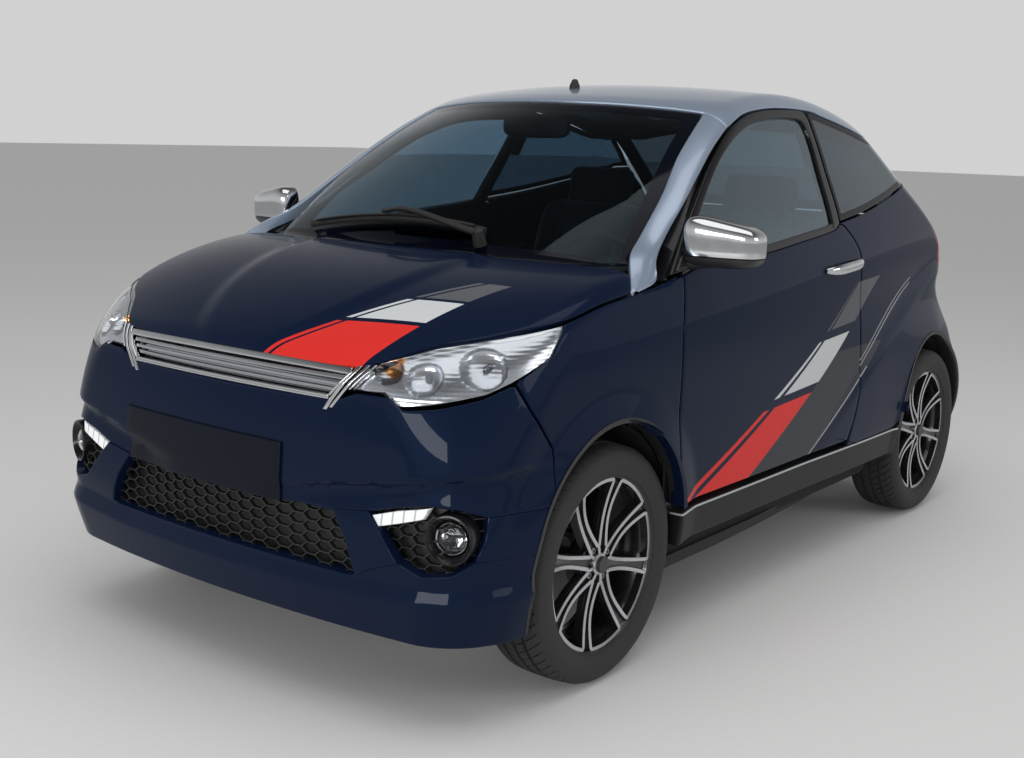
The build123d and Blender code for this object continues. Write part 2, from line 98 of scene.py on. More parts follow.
def ramp(value, start, end, soft=0.08):
    """0 before start and 1 after end, straight between them, with slightly rounded knees."""
    t = (value - start) / (end - start)
    return 0.5 * (np.sqrt(t * t + soft ** 2) - np.sqrt((t - 1) ** 2 + soft ** 2) + 1)


def side_relief(y, z):
    """How far the sides stand out of the plain outline: both arch flares, the rear haunch
    below its rising crease, and the shoulder line."""
    out = 0
    for axle in (FRONT_AXLE, REAR_AXLE):
        reach_out = np.hypot((y - axle) / 0.96, z - WHEEL_HEIGHT)
        out = np.maximum(out, FLARE_OUT * (1 - ramp(reach_out, FLARE_IN, FLARE_EDGE)))
    crease = 0.392 + 0.744 * (y - 0.123) - 0.255 * (y - 0.123) ** 2
    below = 0.87 * (crease - z)
    haunch = (0.012 + 0.012 * ramp(y, 0.7, 1.1, 0.2)) * ramp(below, 0.0, 0.06) * ramp(y, 0.1, 0.55, 0.2)
    haunch = haunch * (1 - ramp(y, 1.14, 1.36, 0.2))
    shoulder = 0.83 + 0.085 * (y + 0.7)
    line = 0.005 * ridge(z - shoulder, 0.04) * ramp(y, -1.05, -0.75, 0.2)
    return np.maximum(out, haunch) + line


def nose_relief(x, z):
    """How far the nose stands out of the plain outline: a step in below the bumper's crease,
    which fades lower down, and the lip along its foot."""
    wide = np.abs(x)
    crease = 0.5 + 0.158 * np.maximum(wide - 0.2, 0)
    step = 0.016 * ramp(z, crease, crease - 0.016, 0.05) * (1 - ramp(z, crease - 0.03, crease - 0.17))
    lip_top = 0.318 + 0.055 * np.maximum(wide - 0.35, 0)
    return 0.02 * ramp(z, lip_top, lip_top - 0.034, 0.06) - step * ramp(wide, 0.16, 0.26)


def plan_distance(x, y, z):
    """Distance outside the plan outline: front, side and rear arcs joined by round corners."""
    half, front_x, front_y, front_bulge, rear_x, rear_y, rear_bulge, front_r, rear_r = plan_row(z)
    wide = np.abs(x)
    cu, cv, r = circle_through(front_x, front_y + front_bulge, half, -0.05 + 0 * z,
                               rear_x, rear_y - rear_bulge)
    side = np.hypot(wide - cu, y - cv) - r - side_relief(y, z)
    cu, cv, r = circle_through(front_x, front_y + front_bulge, 0 * z, front_y,
                               -front_x, front_y + front_bulge)
    front = np.hypot(wide - cu, y - cv) - r
    cu, cv, r = circle_through(rear_x, rear_y - rear_bulge, 0 * z, rear_y, -rear_x, rear_y - rear_bulge)
    rear = np.hypot(wide - cu, y - cv) - r
    front = round_join(side, front, front_r) - nose_relief(x, z) * ramp(-y, 1.14, 1.3, 0.2)
    return round_join(front, rear, rear_r)


def bowed_line(y, z, p, q, bulge):
    """Distance outside the straight line from p to q, bowed out by bulge at its middle."""
    dy, dz = q[0] - p[0], q[1] - p[1]
    length = np.hypot(dy, dz)
    along = np.clip(((y - p[0]) * dy + (z - p[1]) * dz) / length ** 2, 0, 1)
    return ((z - p[1]) * dy - (y - p[0]) * dz) / length - 4 * bulge * along * (1 - along)


def length_distance(x, y, z):
    """Distance above the lengthwise profile: hood, windscreen, roof, rear glass and tail."""
    s, h = (x / 0.63) ** 2, np.minimum((x / 0.5) ** 2, 1.5)
    cowl = (-0.9 + 0.13 * s, 0.972 + 0.005 * s - 0.012 * s * s)
    header = (-0.37 + 0.16 * h - 0.012 * h * h, 1.36 - 0.024 * h)
    roof_end = (0.86 - 0.045 * h, 1.35 - 0.042 * h)
    deck = (1.375 - 0.04 * s, 0.985 - 0.02 * s)
    cu, cv, r = circle_through(-1.6 + 0 * s, 0.675 - 0.1 * s,
                               -1.23 + 0 * s, 0.893 - 0.022 * s - 0.022 * s * s, cowl[0], cowl[1])
    hood = z - cv - np.sqrt(np.maximum(r * r - (np.minimum(y, -0.3) - cu) ** 2, 1e-6))
    wide = 0.285 * np.sqrt(np.clip(1 - ((y + 0.86) / 0.62) ** 2, 0, 1))
    valley = np.abs(x) - wide
    hood = hood - 0.007 * (1 - ramp(valley, -0.016, 0.03)) * ramp(y, -1.48, -1.38, 0.1)
    cu, cv, r = circle_through(header[0], header[1], 0.02 + 0 * h, 1.42 - 0.032 * h,
                               roof_end[0], roof_end[1])
    roof = z - cv - np.sqrt(np.maximum(r * r - (y - cu) ** 2, 1e-6))
    screen = bowed_line(y, z, cowl, header, 0.011)
    glass = bowed_line(y, z, roof_end, deck, 0.014)
    tail = bowed_line(y, z, deck, (deck[0] + 0.145, deck[1] - 0.19), 0.035)
    cabin = round_join(round_join(screen, roof, 0.05), glass, 0.03)
    cabin = round_join(cabin, tail, 0.04)
    return np.where(y < -0.3, np.minimum(hood, cabin), cabin)


def skin(x, y, z):
    """The body's outer surface as a distance, less than zero inside."""
    return round_join(plan_distance(x, y, z), length_distance(x, y, z),
                      0.04 + 0.07 * ramp(y, 0.75, 1.05, 0.2))


RAY = 1.3                  # longer than any ray from inside to the skin
HALVINGS = 26


def reach(start, heading):
    """Points where rays from inside meet the skin, found by halving each ray."""
    near, away = np.zeros(start.shape[:-1]), np.full(start.shape[:-1], RAY)
    for _ in range(HALVINGS):
        middle = (near + away) / 2
        inside = skin(*np.moveaxis(start + heading * middle[..., None], -1, 0)) < 0
        near, away = np.where(inside, middle, near), np.where(inside, away, middle)
    return start + heading * middle[..., None]


def triples(*parts):
    """Coordinates stacked into an array of points."""
    return np.stack(np.broadcast_arrays(*parts), -1)


# Each chart flattens part of the skin: it gives a point's two chart numbers, and the ray of
# a pair of chart numbers.


def barrel_chart(level):
    """Angle about the lengthwise line on the middle plane at a level, and y."""
    return (lambda p: (np.arctan2(p[..., 0], p[..., 2] - level), p[..., 1]),
            lambda a, b: (triples(0 * a, b, level + 0 * a), triples(np.sin(a), 0 * a, np.cos(a))))


def end_chart(middle, turn):
    """Angle about the upright line at y = middle, and z. turn is -1 for the nose and 1 for
    the tail."""
    return (lambda p: (np.arctan2(p[..., 0], turn * (p[..., 1] - middle)), p[..., 2]),
            lambda a, b: (triples(0 * a, middle + 0 * a, b),
                          triples(np.sin(a), turn * np.cos(a), 0 * a)))


CHARTS = {
    "side": (lambda p: (p[..., 1], p[..., 2]),
             lambda a, b: (triples(0 * a, a, b), triples(1 + 0 * a, 0 * a, 0 * a))),
    "back": (lambda p: (p[..., 0], p[..., 2]),
             lambda a, b: (triples(a, 0.45 + 0 * a, b), triples(0 * a, 1 + 0 * a, 0 * a))),
    "hood": barrel_chart(0.6), "roof": barrel_chart(0.88),
    "nose": end_chart(-0.9, -1), "tail": end_chart(0.7, 1),
}


def on_side(pairs):
    """Skin points of the left side from (y, z) pairs."""
    y, z = np.array(pairs, float).T
    return reach(triples(0 * y, y, z), triples(1 + 0 * y, 0 * y, 0 * y))


def on_top(pairs, level=0.6):
    """Skin points above (x, y) pairs."""
    x, y = np.array(pairs, float).T
    return reach(triples(x, y, level + 0 * x), triples(0 * x, 0 * y, 1 + 0 * x))


def on_front(pairs):
    """Skin points of the nose from (x, z) pairs."""
    x, z = np.array(pairs, float).T
    return reach(triples(x, -0.8 + 0 * x, z), triples(0 * x, -1 + 0 * x, 0 * x))


def on_rear(pairs, start=0.8):
    """Skin points of the tail from (x, z) pairs."""
    x, z = np.array(pairs, float).T
    return reach(triples(x, start + 0 * x, z), triples(0 * x, 1 + 0 * x, 0 * x))


def along(points, t):
    """Points at fractions t of a line through the given points."""
    points = np.asarray(points, float)
    run = np.append(0, np.cumsum(np.linalg.norm(np.diff(points, axis=0), axis=1)))
    return np.stack([np.interp(t * run[-1], run, points[:, k]) for k in range(points.shape[1])], -1)


def smooth_line(points, per_span=10):
    """A line through the points with rounded bends: cubic spans whose slopes are half the
    step between each point's neighbours."""
    p = np.asarray(points, float)
    ends = np.vstack([2 * p[0] - p[1], p, 2 * p[-1] - p[-2]])
    slope = (ends[2:] - ends[:-2]) / 2
    t = np.linspace(0, 1, per_span, endpoint=False)[:, None]
    spans = [(1 + 2 * t) * (1 - t) ** 2 * p[i] + t * (1 - t) ** 2 * slope[i]
             + t * t * (3 - 2 * t) * p[i + 1] + t * t * (t - 1) * slope[i + 1]
             for i in range(len(p) - 1)]
    return np.vstack(spans + [p[-1:]])


def steps(length, count, rim_start, rim_end, radius):
    """Fractions of a run, evenly spaced, with close ones inside each rolled rim."""
    close = np.array([0, 0.12, 0.35, 0.65, 1.0]) * radius / length
    low = close if rim_start else np.array([0.0])
    high = 1 - close[::-1] if rim_end else np.array([1.0])
    inner = np.linspace(low[-1], high[0], count + 1)[1:-1]
    return np.concatenate([low, inner, high])


def run_length(points):
    """Length of a line through points."""
    return np.linalg.norm(np.diff(points, axis=0), axis=1).sum()


def sheet(top, heading, u, v, rims, thick, roll=0.0035, sink=0.0):
    """A closed sheet from a grid of skin points. u and v are the grid lines' distances from
    the first side. The sides named in rims (f foot, l left, r right, h head) are rolled in on
    a small radius; sink sets the whole piece under the skin."""
    normal = np.cross(np.gradient(top, axis=0), np.gradient(top, axis=1))
    normal /= np.linalg.norm(normal, axis=-1, keepdims=True) + 1e-12
    outward = np.sign((normal * heading).sum(-1).mean())
    normal *= outward
    edge = np.full(top.shape[:2], 1.0)
    for name, span in (("l", u), ("r", u[-1:] - u), ("f", v), ("h", v[:, -1:] - v)):
        if name in rims:
            edge = np.minimum(edge, span)
    drop = roll - np.sqrt(np.maximum(roll ** 2 - np.maximum(roll - edge, 0) ** 2, 0))
    top = top - normal * (drop + sink)[..., None]
    under = top - normal * (thick - drop)[..., None]
    return closed_sheet(top, under, outward)


def patch(chart, foot, head, left, right, nu, nv, rims="flrh", thick=0.014, roll=0.0035, sink=0.0):
    """A four-sided piece of skin. foot and head run left to right, left and right run up.
    Chart numbers inside are blended from the four edges (a Coons patch)."""
    flat, ray = CHARTS[chart]
    foot, head, left, right = (np.asarray(e, float) for e in (foot, head, left, right))
    long_u = max(run_length(foot), run_length(head))
    long_v = max(run_length(left), run_length(right))
    u = steps(long_u, nu, "l" in rims, "r" in rims, roll)
    v = steps(long_v, nv, "f" in rims, "h" in rims, roll)
    f, h, l, r = (
        np.stack(flat(along(e, t)), -1) for e, t in ((foot, u), (head, u), (left, v), (right, v)))
    u1, v1 = u[:, None, None], v[None, :, None]
    corner = ((1 - u1) * (1 - v1) * (f[0] + l[0]) / 2 + u1 * (1 - v1) * (f[-1] + r[0]) / 2
              + (1 - u1) * v1 * (h[0] + l[-1]) / 2 + u1 * v1 * (h[-1] + r[-1]) / 2)
    grid = (1 - v1) * f[:, None] + v1 * h[:, None] + (1 - u1) * l[None] + u1 * r[None] - corner
    start, heading = ray(grid[..., 0], grid[..., 1])
    shape = grid.shape[:2]
    return sheet(reach(start, heading), heading, np.broadcast_to(u[:, None] * long_u, shape),
                 np.broadcast_to(v[None] * long_v, shape), rims, thick, roll, sink)


STEP = 0.012                # spacing of the cross lines of a strip


def ribbon(chart, inner, outer, nv=6, thick=0.014, roll=0.0035, sink=0.0):
    """A strip of skin between two lines of equally many points, drawn across pair by pair."""
    flat, ray = CHARTS[chart]
    inner, outer = np.asarray(inner, float), np.asarray(outer, float)
    middle = (inner + outer) / 2
    run = np.append(0, np.cumsum(np.linalg.norm(np.diff(middle, axis=0), axis=1)))
    count = max(int(run[-1] / STEP), 6)
    u = steps(run[-1], count, True, True, roll)
    wide = np.linalg.norm(inner - outer, axis=1).mean()
    v = steps(wide, nv, True, True, roll)
    a, b = (np.stack(flat(e), -1) for e in (inner, outer))
    a, b = (np.stack([np.interp(u * run[-1], run, e[:, k]) for k in (0, 1)], -1) for e in (a, b))
    grid = a[:, None] + (b - a)[:, None] * v[None, :, None]
    start, heading = ray(grid[..., 0], grid[..., 1])
    shape = grid.shape[:2]
    return sheet(reach(start, heading), heading, np.broadcast_to(u[:, None] * run[-1], shape),
                 np.broadcast_to(v[None] * wide, shape), "flrh", thick, roll, sink)


def closed_sheet(top, under, outward=1.0):
    """Vertices and faces of two matching grids, back to back, walled along all four sides."""
    nu, nv = top.shape[:2]
    index = np.arange(nu * nv).reshape(nu, nv)
    a, b, c, d = index[:-1, :-1], index[1:, :-1], index[1:, 1:], index[:-1, 1:]
    upper = np.stack([a, b, c, d], -1).reshape(-1, 4)
    lower = upper[:, ::-1] + nu * nv
    walls = [np.stack([line[:-1], line[:-1] + nu * nv, line[1:] + nu * nv, line[1:]], -1)
             for line in (index[:, 0], index[-1], index[::-1, -1], index[0, ::-1])]
    faces = np.vstack([upper, lower] + walls)
    if outward < 0:
        faces = faces[:, ::-1]
    return np.vstack([top.reshape(-1, 3), under.reshape(-1, 3)]), faces


def joined(parts):
    """Several (vertices, faces) pairs as one."""
    verts, faces, count = [], [], 0
    for v, f in parts:
        verts.append(v)
        faces.append(f + count)
        count += len(v)
    return np.vstack(verts), np.vstack(faces)


def flipped(part):
    """The same shape on the car's other side."""
    verts, faces = part
    return verts * (-1, 1, 1), faces[:, ::-1]


def make_piece(name, part, finish, body, slot, replaces=(), weld=0.0, sharp=32):
    """A mesh object from vertices and faces, with its finish and body; slot is not used.
    weld joins doubled points, so that neighbouring patches shade as one; every face is
    turned outwards."""
    verts, faces = part
    mesh = bpy.data.meshes.new(name)
    mesh.from_pydata(verts.tolist(), [], faces.tolist())
    piece = bpy.data.objects.new(name, mesh)
    bpy.context.scene.collection.objects.link(piece)
    bm = bmesh.new()
    bm.from_mesh(mesh)
    if weld:
        bmesh.ops.remove_doubles(bm, verts=bm.verts, dist=weld)
    bmesh.ops.recalc_face_normals(bm, faces=bm.faces)
    bm.to_mesh(mesh)
    bm.free()
    mesh.shade_smooth()
    mesh.set_sharp_from_angle(angle=np.radians(sharp))
    mesh.materials.append(finish.material)
    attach(piece, body)
    if replaces:
        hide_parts(*replaces)
    return piece


class Wire:
    """A socket of a finish; Python's operators add Math nodes to it."""

    def __init__(self, finish, socket):
        self.finish, self.socket = finish, socket

    def __add__(self, other):
        return self.finish.math("ADD", self, other)

    def __radd__(self, other):
        return self.finish.math("ADD", other, self)

    def __sub__(self, other):
        return self.finish.math("SUBTRACT", self, other)

    def __rsub__(self, other):
        return self.finish.math("SUBTRACT", other, self)

    def __mul__(self, other):
        return self.finish.math("MULTIPLY", self, other)

    def __rmul__(self, other):
        return self.finish.math("MULTIPLY", other, self)

    def __gt__(self, other):
        return self.finish.math("GREATER_THAN", self, other)

    def __lt__(self, other):
        return self.finish.math("LESS_THAN", self, other)


class Finish:
    """A material of one Principled shader, to which nodes are added by hand."""

    def __init__(self, name, color, roughness, metallic=0.0, **sockets):
        self.material = bpy.data.materials.new(name)
        self.material.use_nodes = True
        self.tree = self.material.node_tree
        self.shader = self.tree.nodes["Principled BSDF"]
        self.set("Base Color", paint_value(color))
        self.set("Roughness", roughness)
        self.set("Metallic", metallic)
        for socket, value in sockets.items():
            self.set(socket.replace("_", " "), value)

    def set(self, socket, value):
        """Links a wire to one of the shader's sockets, or writes a value on it."""
        if isinstance(value, Wire):
            self.tree.links.new(value.socket, self.shader.inputs[socket])
        else:
            self.shader.inputs[socket].default_value = value

    def node(self, kind, settings=None, inputs=None, output=0):
        """Adds a node of a kind, sets it up, feeds its inputs and gives one of its outputs."""
        made = self.tree.nodes.new(kind)
        for key, value in (settings or {}).items():
            setattr(made, key, value)
        for key, value in (inputs or {}).items():
            if isinstance(value, Wire):
                self.tree.links.new(value.socket, made.inputs[key])
            else:
                made.inputs[key].default_value = value
        return Wire(self, made.outputs[output])

    def math(self, operation, *values):
        """Adds a Math node of an operation on the values."""
        return self.node("ShaderNodeMath", {"operation": operation}, dict(enumerate(values)))

    def point(self):
        """Object coordinates as one vector."""
        return self.node("ShaderNodeTexCoord", output=3)

    def place(self):
        """Object coordinates as x, y and z."""
        parts = self.node("ShaderNodeSeparateXYZ", inputs={0: self.point()}).socket.node
        return [Wire(self, parts.outputs[k]) for k in range(3)]

    def noise(self, scale, detail=2.0):
        """Adds cloudy noise of a scale, from 0 to 1."""
        return self.node("ShaderNodeTexNoise",
                         inputs={"Vector": self.point(), "Scale": scale, "Detail": detail})

    def blend(self, factor, first, second):
        """Colour that goes from first to second as factor goes from 0 to 1."""
        return self.node("ShaderNodeMix", {"data_type": "RGBA"},
                         {0: factor, 6: paint_value(first), 7: paint_value(second)}, output=2)

    def bump(self, height, strength, distance):
        """Tilts the shading by the slope of a height."""
        self.set("Normal", self.node("ShaderNodeBump", inputs={"Height": height, "Strength": strength,
                                                               "Distance": distance}))


def paint_value(color):
    """A colour with its alpha, or a wire as it is."""
    return color if isinstance(color, Wire) else (*color, 1.0)


NAVY = (0.004, 0.0095, 0.029)
STRIPE_RED = (0.68, 0.032, 0.026)
STRIPE_WHITE = (0.56, 0.58, 0.59)
STRIPE_GREY = (0.1, 0.105, 0.115)


def lacquer(name, film_and_painted_light=None):
    """Deep navy lacquer with fine metal flake under a clear coat. Its second argument, when given,
    adds film bands, and on the sides also painted reflections and highlights: it takes x, y, z
    and gives (mask, colour) pairs."""
    finish = Finish(name, NAVY, 0.25, 0.0, Specular_IOR_Level=0.04, Specular_Tint=(0.15, 0.4, 1.0, 1.0),
                    Coat_Weight=0.24, Coat_Roughness=0.015, Coat_IOR=1.42)
    flake = finish.noise(900.0, 1.0)
    color = finish.blend(flake, tuple(0.72 * c for c in NAVY), tuple(1.35 * c for c in NAVY))
    if film_and_painted_light:
        # Each pair lays a colour over the paint: film bands, and on the sides also a painted reflection
        # and painted highlights.
        for mask, band_colour in film_and_painted_light(*finish.place()):
            color = finish.blend(mask, color, band_colour)
    finish.set("Base Color", color)
    return finish


def between(value, low, high):
    """1 where value lies between two limits."""
    return (value > low) * (value < high)


def hood_stripes(x, y, _z):
    """Red, pale and grey blocks, cut across at slants, between two lines that lean outwards;
    a thin line of each film runs beside its inner edge."""
    inner = x - (0.14 + 0.93 * (y + 1.445) - 0.2 * (y + 1.445) * (y + 1.445))
    outer = x - (0.398 + 0.29 * (y + 1.407) + 0.12 * (y + 1.407) * (y + 1.407))
    across = y - 0.2 * (x - 0.35)
    band = (inner > 0.0) * (outer < 0.0)
    thin = (inner > -0.022) * (inner < -0.009)
    blocks = ((-1.6, -1.303, STRIPE_RED), (-1.29, -1.203, STRIPE_WHITE), (-1.192, -1.096, STRIPE_GREY))
    return [(between(across, low, high) * (band + thin), band_colour) for low, high, band_colour in blocks]


HOOD_SIDE = np.array([
    (0.415, -1.412, 0.78), (0.441, -1.396, 0.791), (0.518, -1.322, 0.824), (0.61, -1.248, 0.847),
    (0.688, -1.11, 0.874), (0.7, -0.981, 0.901), (0.703, -0.87, 0.916)])
HOOD_FOOT = np.array([(0, -1.452, 0.77), (0.2, -1.448, 0.771), (0.379, -1.426, 0.773),
                      (0.415, -1.412, 0.78)])
HOOD_REAR = np.array([(0, -0.914, 0.967), (0.25, -0.899, 0.967), (0.45, -0.868, 0.97),
                      (0.59, -0.826, 0.97), (0.66, -0.822, 0.955), (0.703, -0.87, 0.916)])
MIRRORED = np.array((-1, 1, 1))


def both_sides(line):
    """A line that starts on the middle plane, continued over it to the other side."""
    return np.vstack([line[:0:-1] * MIRRORED, line])


def over_middle(foot, head, side):
    """All four edges of a patch across the middle plane, from its left half's."""
    return both_sides(foot), both_sides(head), side * MIRRORED, side


hood_edges = over_middle(smooth_line(HOOD_FOOT), smooth_line(HOOD_REAR), smooth_line(HOOD_SIDE))
hood_part = patch("hood", *hood_edges, 90, 60, thick=0.02)
make_piece("hood_lid", hood_part, lacquer("hood_lacquer", hood_stripes), "hood", "body_paint", ["hood"])

# ---------------------------------------------------------------------------------------
# Front fenders: one side wall each from the lamp to the door, with the flared wheel arch.
# Moulded and lacquered like the hood, and screwed to the frame behind the door's edge.

body_finish = lacquer("body_lacquer")


# Half length and half height of a wheel opening's oval, and the height of its centre.
ARCH_LONG, ARCH_HIGH, ARCH_LEVEL = 0.304, 0.34, 0.29


def arch_line(axle, start, end, count):
    """(y, z) pairs round a wheel opening: an oval from angle start to end, in degrees,
    0 pointing backwards and 90 up."""
    a = np.radians(np.linspace(start, end, count))
    return np.stack([axle + ARCH_LONG * np.cos(a), ARCH_LEVEL + ARCH_HIGH * np.sin(a)], -1)


def arch_lip(axle, start, end):
    """The arch's return lip: a band that turns inwards from the opening's edge."""
    edge = on_side(arch_line(axle, start, end, 60))
    away = (edge - (0, axle, ARCH_LEVEL)) * (0, 1, 1)
    away /= np.linalg.norm(away, axis=1, keepdims=True)
    inward = np.array((-1.0, 0, 0))
    deep = np.array([0.0, 0.001, 0.004, 0.012, 0.05])
    proud = np.array([0.0, -0.0022, -0.0035, -0.004, -0.004])
    grid = edge[:, None] + inward * deep[:, None] + away[:, None] * proud[:, None]
    back = grid + away[:, None] * 0.01
    return closed_sheet(grid, back)


def two_sides(name, part, finish, body, slot, nodes=(), **more):
    """The left piece and its mirror image, fixed alike; {} in body and nodes stands for the
    side's name."""
    for side, shape in (("left", part), ("right", flipped(part))):
        make_piece(f"{name}_{side}", shape, finish, body.format(side), slot,
                   [n.format(side) for n in nodes], **more)


def side_curve(pairs):
    """A smooth line on the left side through (y, z) pairs."""
    return on_side(smooth_line(pairs))


FENDER_HEAD = [(-1.113, 0.868), (-0.981, 0.896), (-0.868, 0.911), (-0.753, 0.926), (-0.692, 0.935),
               (-0.637, 0.942)]
DOOR_FRONT = [(-0.656, 0.372), (-0.668, 0.48), (-0.668, 0.6), (-0.67, 0.79), (-0.66, 0.85),
              (-0.645, 0.895), (-0.637, 0.942)]
FENDER_FRONT = [(-1.172, 0.502), (-1.172, 0.612), (-1.237, 0.698), (-1.262, 0.757), (-1.163, 0.806),
                (-1.113, 0.868)]
fender_foot = on_side(arch_line(FRONT_AXLE, 141.0, 14.5, 60))
fender_front = np.vstack([fender_foot[:1], on_side(FENDER_FRONT[1:])])
fender_rear = np.vstack([fender_foot[-1:], side_curve(DOOR_FRONT)])
fender = patch("side", fender_foot, side_curve(FENDER_HEAD), fender_front, fender_rear, 70, 46)
two_sides("fender", fender, body_finish, "body", "body_paint", ["fenders"])

# ---------------------------------------------------------------------------------------
# Doors: a lacquered skin with the film stripes, a painted dark reflection and painted highlights,
# and round the window a gloss black frame with rubber seals. Each door turns on two hinges at its
# front edge.

DOOR_REAR = [(0.36, 0.372), (0.395, 0.45), (0.42, 0.56), (0.425, 0.75), (0.415, 0.922), (0.395, 0.972),
             (0.33, 1.023), (0.3, 1.032)]
DOOR_BELT = [(-0.631, 0.944), (-0.56, 0.958), (-0.4, 0.966), (-0.189, 0.975), (0.018, 0.993),
             (0.24, 1.014), (0.3, 1.032)]
FRAME_OUTER = [(-0.69, 0.948), (-0.637, 1.0), (-0.581, 1.049), (-0.504, 1.104), (-0.398, 1.174),
               (-0.297, 1.237), (-0.19, 1.294), (-0.076, 1.334), (0.046, 1.353), (0.184, 1.36),
               (0.3, 1.36), (0.333, 1.346), (0.339, 1.315), (0.33, 1.212), (0.3, 1.034)]
FRAME_INNER = [(-0.54, 0.962), (-0.55, 1.005), (-0.54, 1.048), (-0.48, 1.096), (-0.39, 1.158),
               (-0.286, 1.222), (-0.17, 1.276), (-0.06, 1.311), (0.05, 1.329), (0.15, 1.336),
               (0.25, 1.336), (0.292, 1.327), (0.304, 1.302), (0.3, 1.24), (0.25, 1.02)]


def side_film_and_painted_light(_x, y, z):
    """Film stripes on door and rear wing, alike on both sides of the car: red, pale and grey
    blocks climb rearwards between two bowed lines, with a thin band ahead of them. Painted
    light is laid on too: a dark field behind them is a painted reflection of a dark floor, and
    pale lines round that and along the haunch's crease are painted highlights."""
    up = z - 0.37
    front = y - (2.39 * up - 0.786 * up * up - 0.561)
    rear = y - (1.835 * up - 0.189 * up * up - 0.27)
    ahead = front + (0.088 - 0.16 * up)
    level = z - 0.05 * y
    band = (front > 0.0) * (rear < 0.0) + (ahead > 0.0) * ((front + (0.044 - 0.08 * up)) < 0.0)
    outline = y - 0.133 - 1.683 * (z - 0.386)
    run = y - 0.123
    crease = z - (0.392 + 0.744 * run - 0.255 * run * run)
    # Painted highlights: two pale lines along the haunch's crease that stand for light caught on its
    # edge.
    crease_highlights = (between(crease, 0.0, 0.005) + between(crease, 0.016, 0.021)) * between(y, 0.425, 0.9)
    # The first pair is a painted reflection: a dark grey field behind the stripes that stands for a
    # dark floor mirrored in the lower side.
    return [((rear > 0.0) * (outline < 0.0) * (z < 0.66), (0.04, 0.042, 0.05)),
            # Painted highlight: a pale line along outline, where the haunch's crease catches light.
            (between(outline, -0.012, 0.0) * (z < 0.59), (0.3, 0.31, 0.33)),
            (band * (level < 0.5585), STRIPE_RED),
            (band * between(level, 0.5815, 0.6965), STRIPE_WHITE),
            (band * between(level, 0.7205, 0.835), STRIPE_GREY),
            (crease_highlights, (0.3, 0.31, 0.33))]


# This paint carries the film stripes and painted light: a painted dark reflection and painted
# highlights.
side_finish = lacquer("door_lacquer", side_film_and_painted_light)
frame_black = Finish("frame_black", (0.008, 0.008, 0.01), 0.22, Specular_IOR_Level=0.2, Coat_Weight=0.2,
                     Coat_Roughness=0.06)
frame_black.set("Roughness", 0.18 + 0.1 * frame_black.noise(60.0))
door_foot = on_side([(-0.65, 0.372), (-0.3, 0.371), (0.0, 0.371), (0.36, 0.372)])
door_skin = patch(
    "side", door_foot, side_curve(DOOR_BELT), side_curve(np.array(DOOR_FRONT) + (0.006, 0.0)),
    side_curve(DOOR_REAR), 100, 70, rims="flrh", thick=0.03)
two_sides("door_skin", door_skin, side_finish, "door_{}", "body_paint", ["door_{}"])
window_frame = ribbon("side", side_curve(FRAME_INNER), side_curve(FRAME_OUTER), 6, thick=0.028)
waist_bar = ribbon("side", side_curve(DOOR_BELT), side_curve([(y, z + 0.022) for y, z in DOOR_BELT]),
                   3, thick=0.022, sink=0.0015)
two_sides("window_frame", joined([window_frame, waist_bar]), frame_black, "door_{}", "black_plastic")

# Door openings: a black flange with a rubber seal runs round each, close behind the door's
# edge, and closes the gap from inside.
JAMB_FRONT = [(-0.6, 0.352), (-0.645, 0.372), (-0.664, 0.48), (-0.664, 0.6), (-0.666, 0.79),
              (-0.652, 0.86), (-0.634, 0.936)]
JAMB_REAR = [(0.325, 1.03), (0.4, 0.972), (0.42, 0.922), (0.43, 0.75), (0.425, 0.56), (0.4, 0.45),
             (0.365, 0.36), (0.3, 0.355), (0.0, 0.355), (-0.3, 0.355), (-0.6, 0.355)]


def flange(line, width, sink):
    """A band along a side line, widened to both sides of it and sunk under the skin."""
    line = smooth_line(line, 6)
    run = np.gradient(line, axis=0)
    run /= np.linalg.norm(run, axis=1, keepdims=True)
    off = np.stack([-run[:, 1], run[:, 0]], 1) * width / 2
    return ribbon("side", on_side(line - off), on_side(line + off), 3, thick=0.006, sink=sink)


jamb = joined([flange(JAMB_FRONT, 0.05, 0.036), flange(JAMB_REAR, 0.05, 0.036),
               flange(FRAME_OUTER[:-1], 0.05, 0.04)])
two_sides("door_jamb", jamb, frame_black, "body", "black_plastic")

# ---------------------------------------------------------------------------------------
# Rear quarters: the body side from the door to the tail, moulded with the wheel arch and
# the haunch over it, and wrapped round the corner above and below the tail lamp.

WING_FRONT = [(0.366, 0.354), (0.401, 0.45), (0.426, 0.56), (0.431, 0.75), (0.421, 0.922),
              (0.401, 0.972), (0.336, 1.025), (0.306, 1.034)]
WING_HEAD = [(0.306, 1.034), (0.522, 1.058), (0.729, 1.09), (0.9, 1.121), (0.985, 1.138)]
WING_REAR = [(1.29, 0.521), (1.33, 0.602), (1.262, 0.69), (1.222, 0.797), (1.178, 0.88), (1.15, 0.988),
             (1.08, 1.07), (0.985, 1.138)]
SEAM_LOW = [(0.482, 0.606), (0.53, 0.7), (0.568, 0.776), (0.568, 0.796)]
SEAM_HIGH = [(0.568, 0.99), (0.566, 1.01), (0.553, 1.08), (0.543, 1.152)]
wing_foot = on_side(np.vstack([[(0.366, 0.354), (0.55, 0.354), (0.7, 0.355), (0.727, 0.359)],
                               arch_line(REAR_AXLE, 164.0, 42.4, 60)]))
wing_rear = on_side(WING_REAR)
wing = patch("side", wing_foot, side_curve(WING_HEAD), side_curve(WING_FRONT), wing_rear,
             90, 60, rims="fl")
low_rear = along(wing_rear[1:4], np.linspace(0, 1, 12))
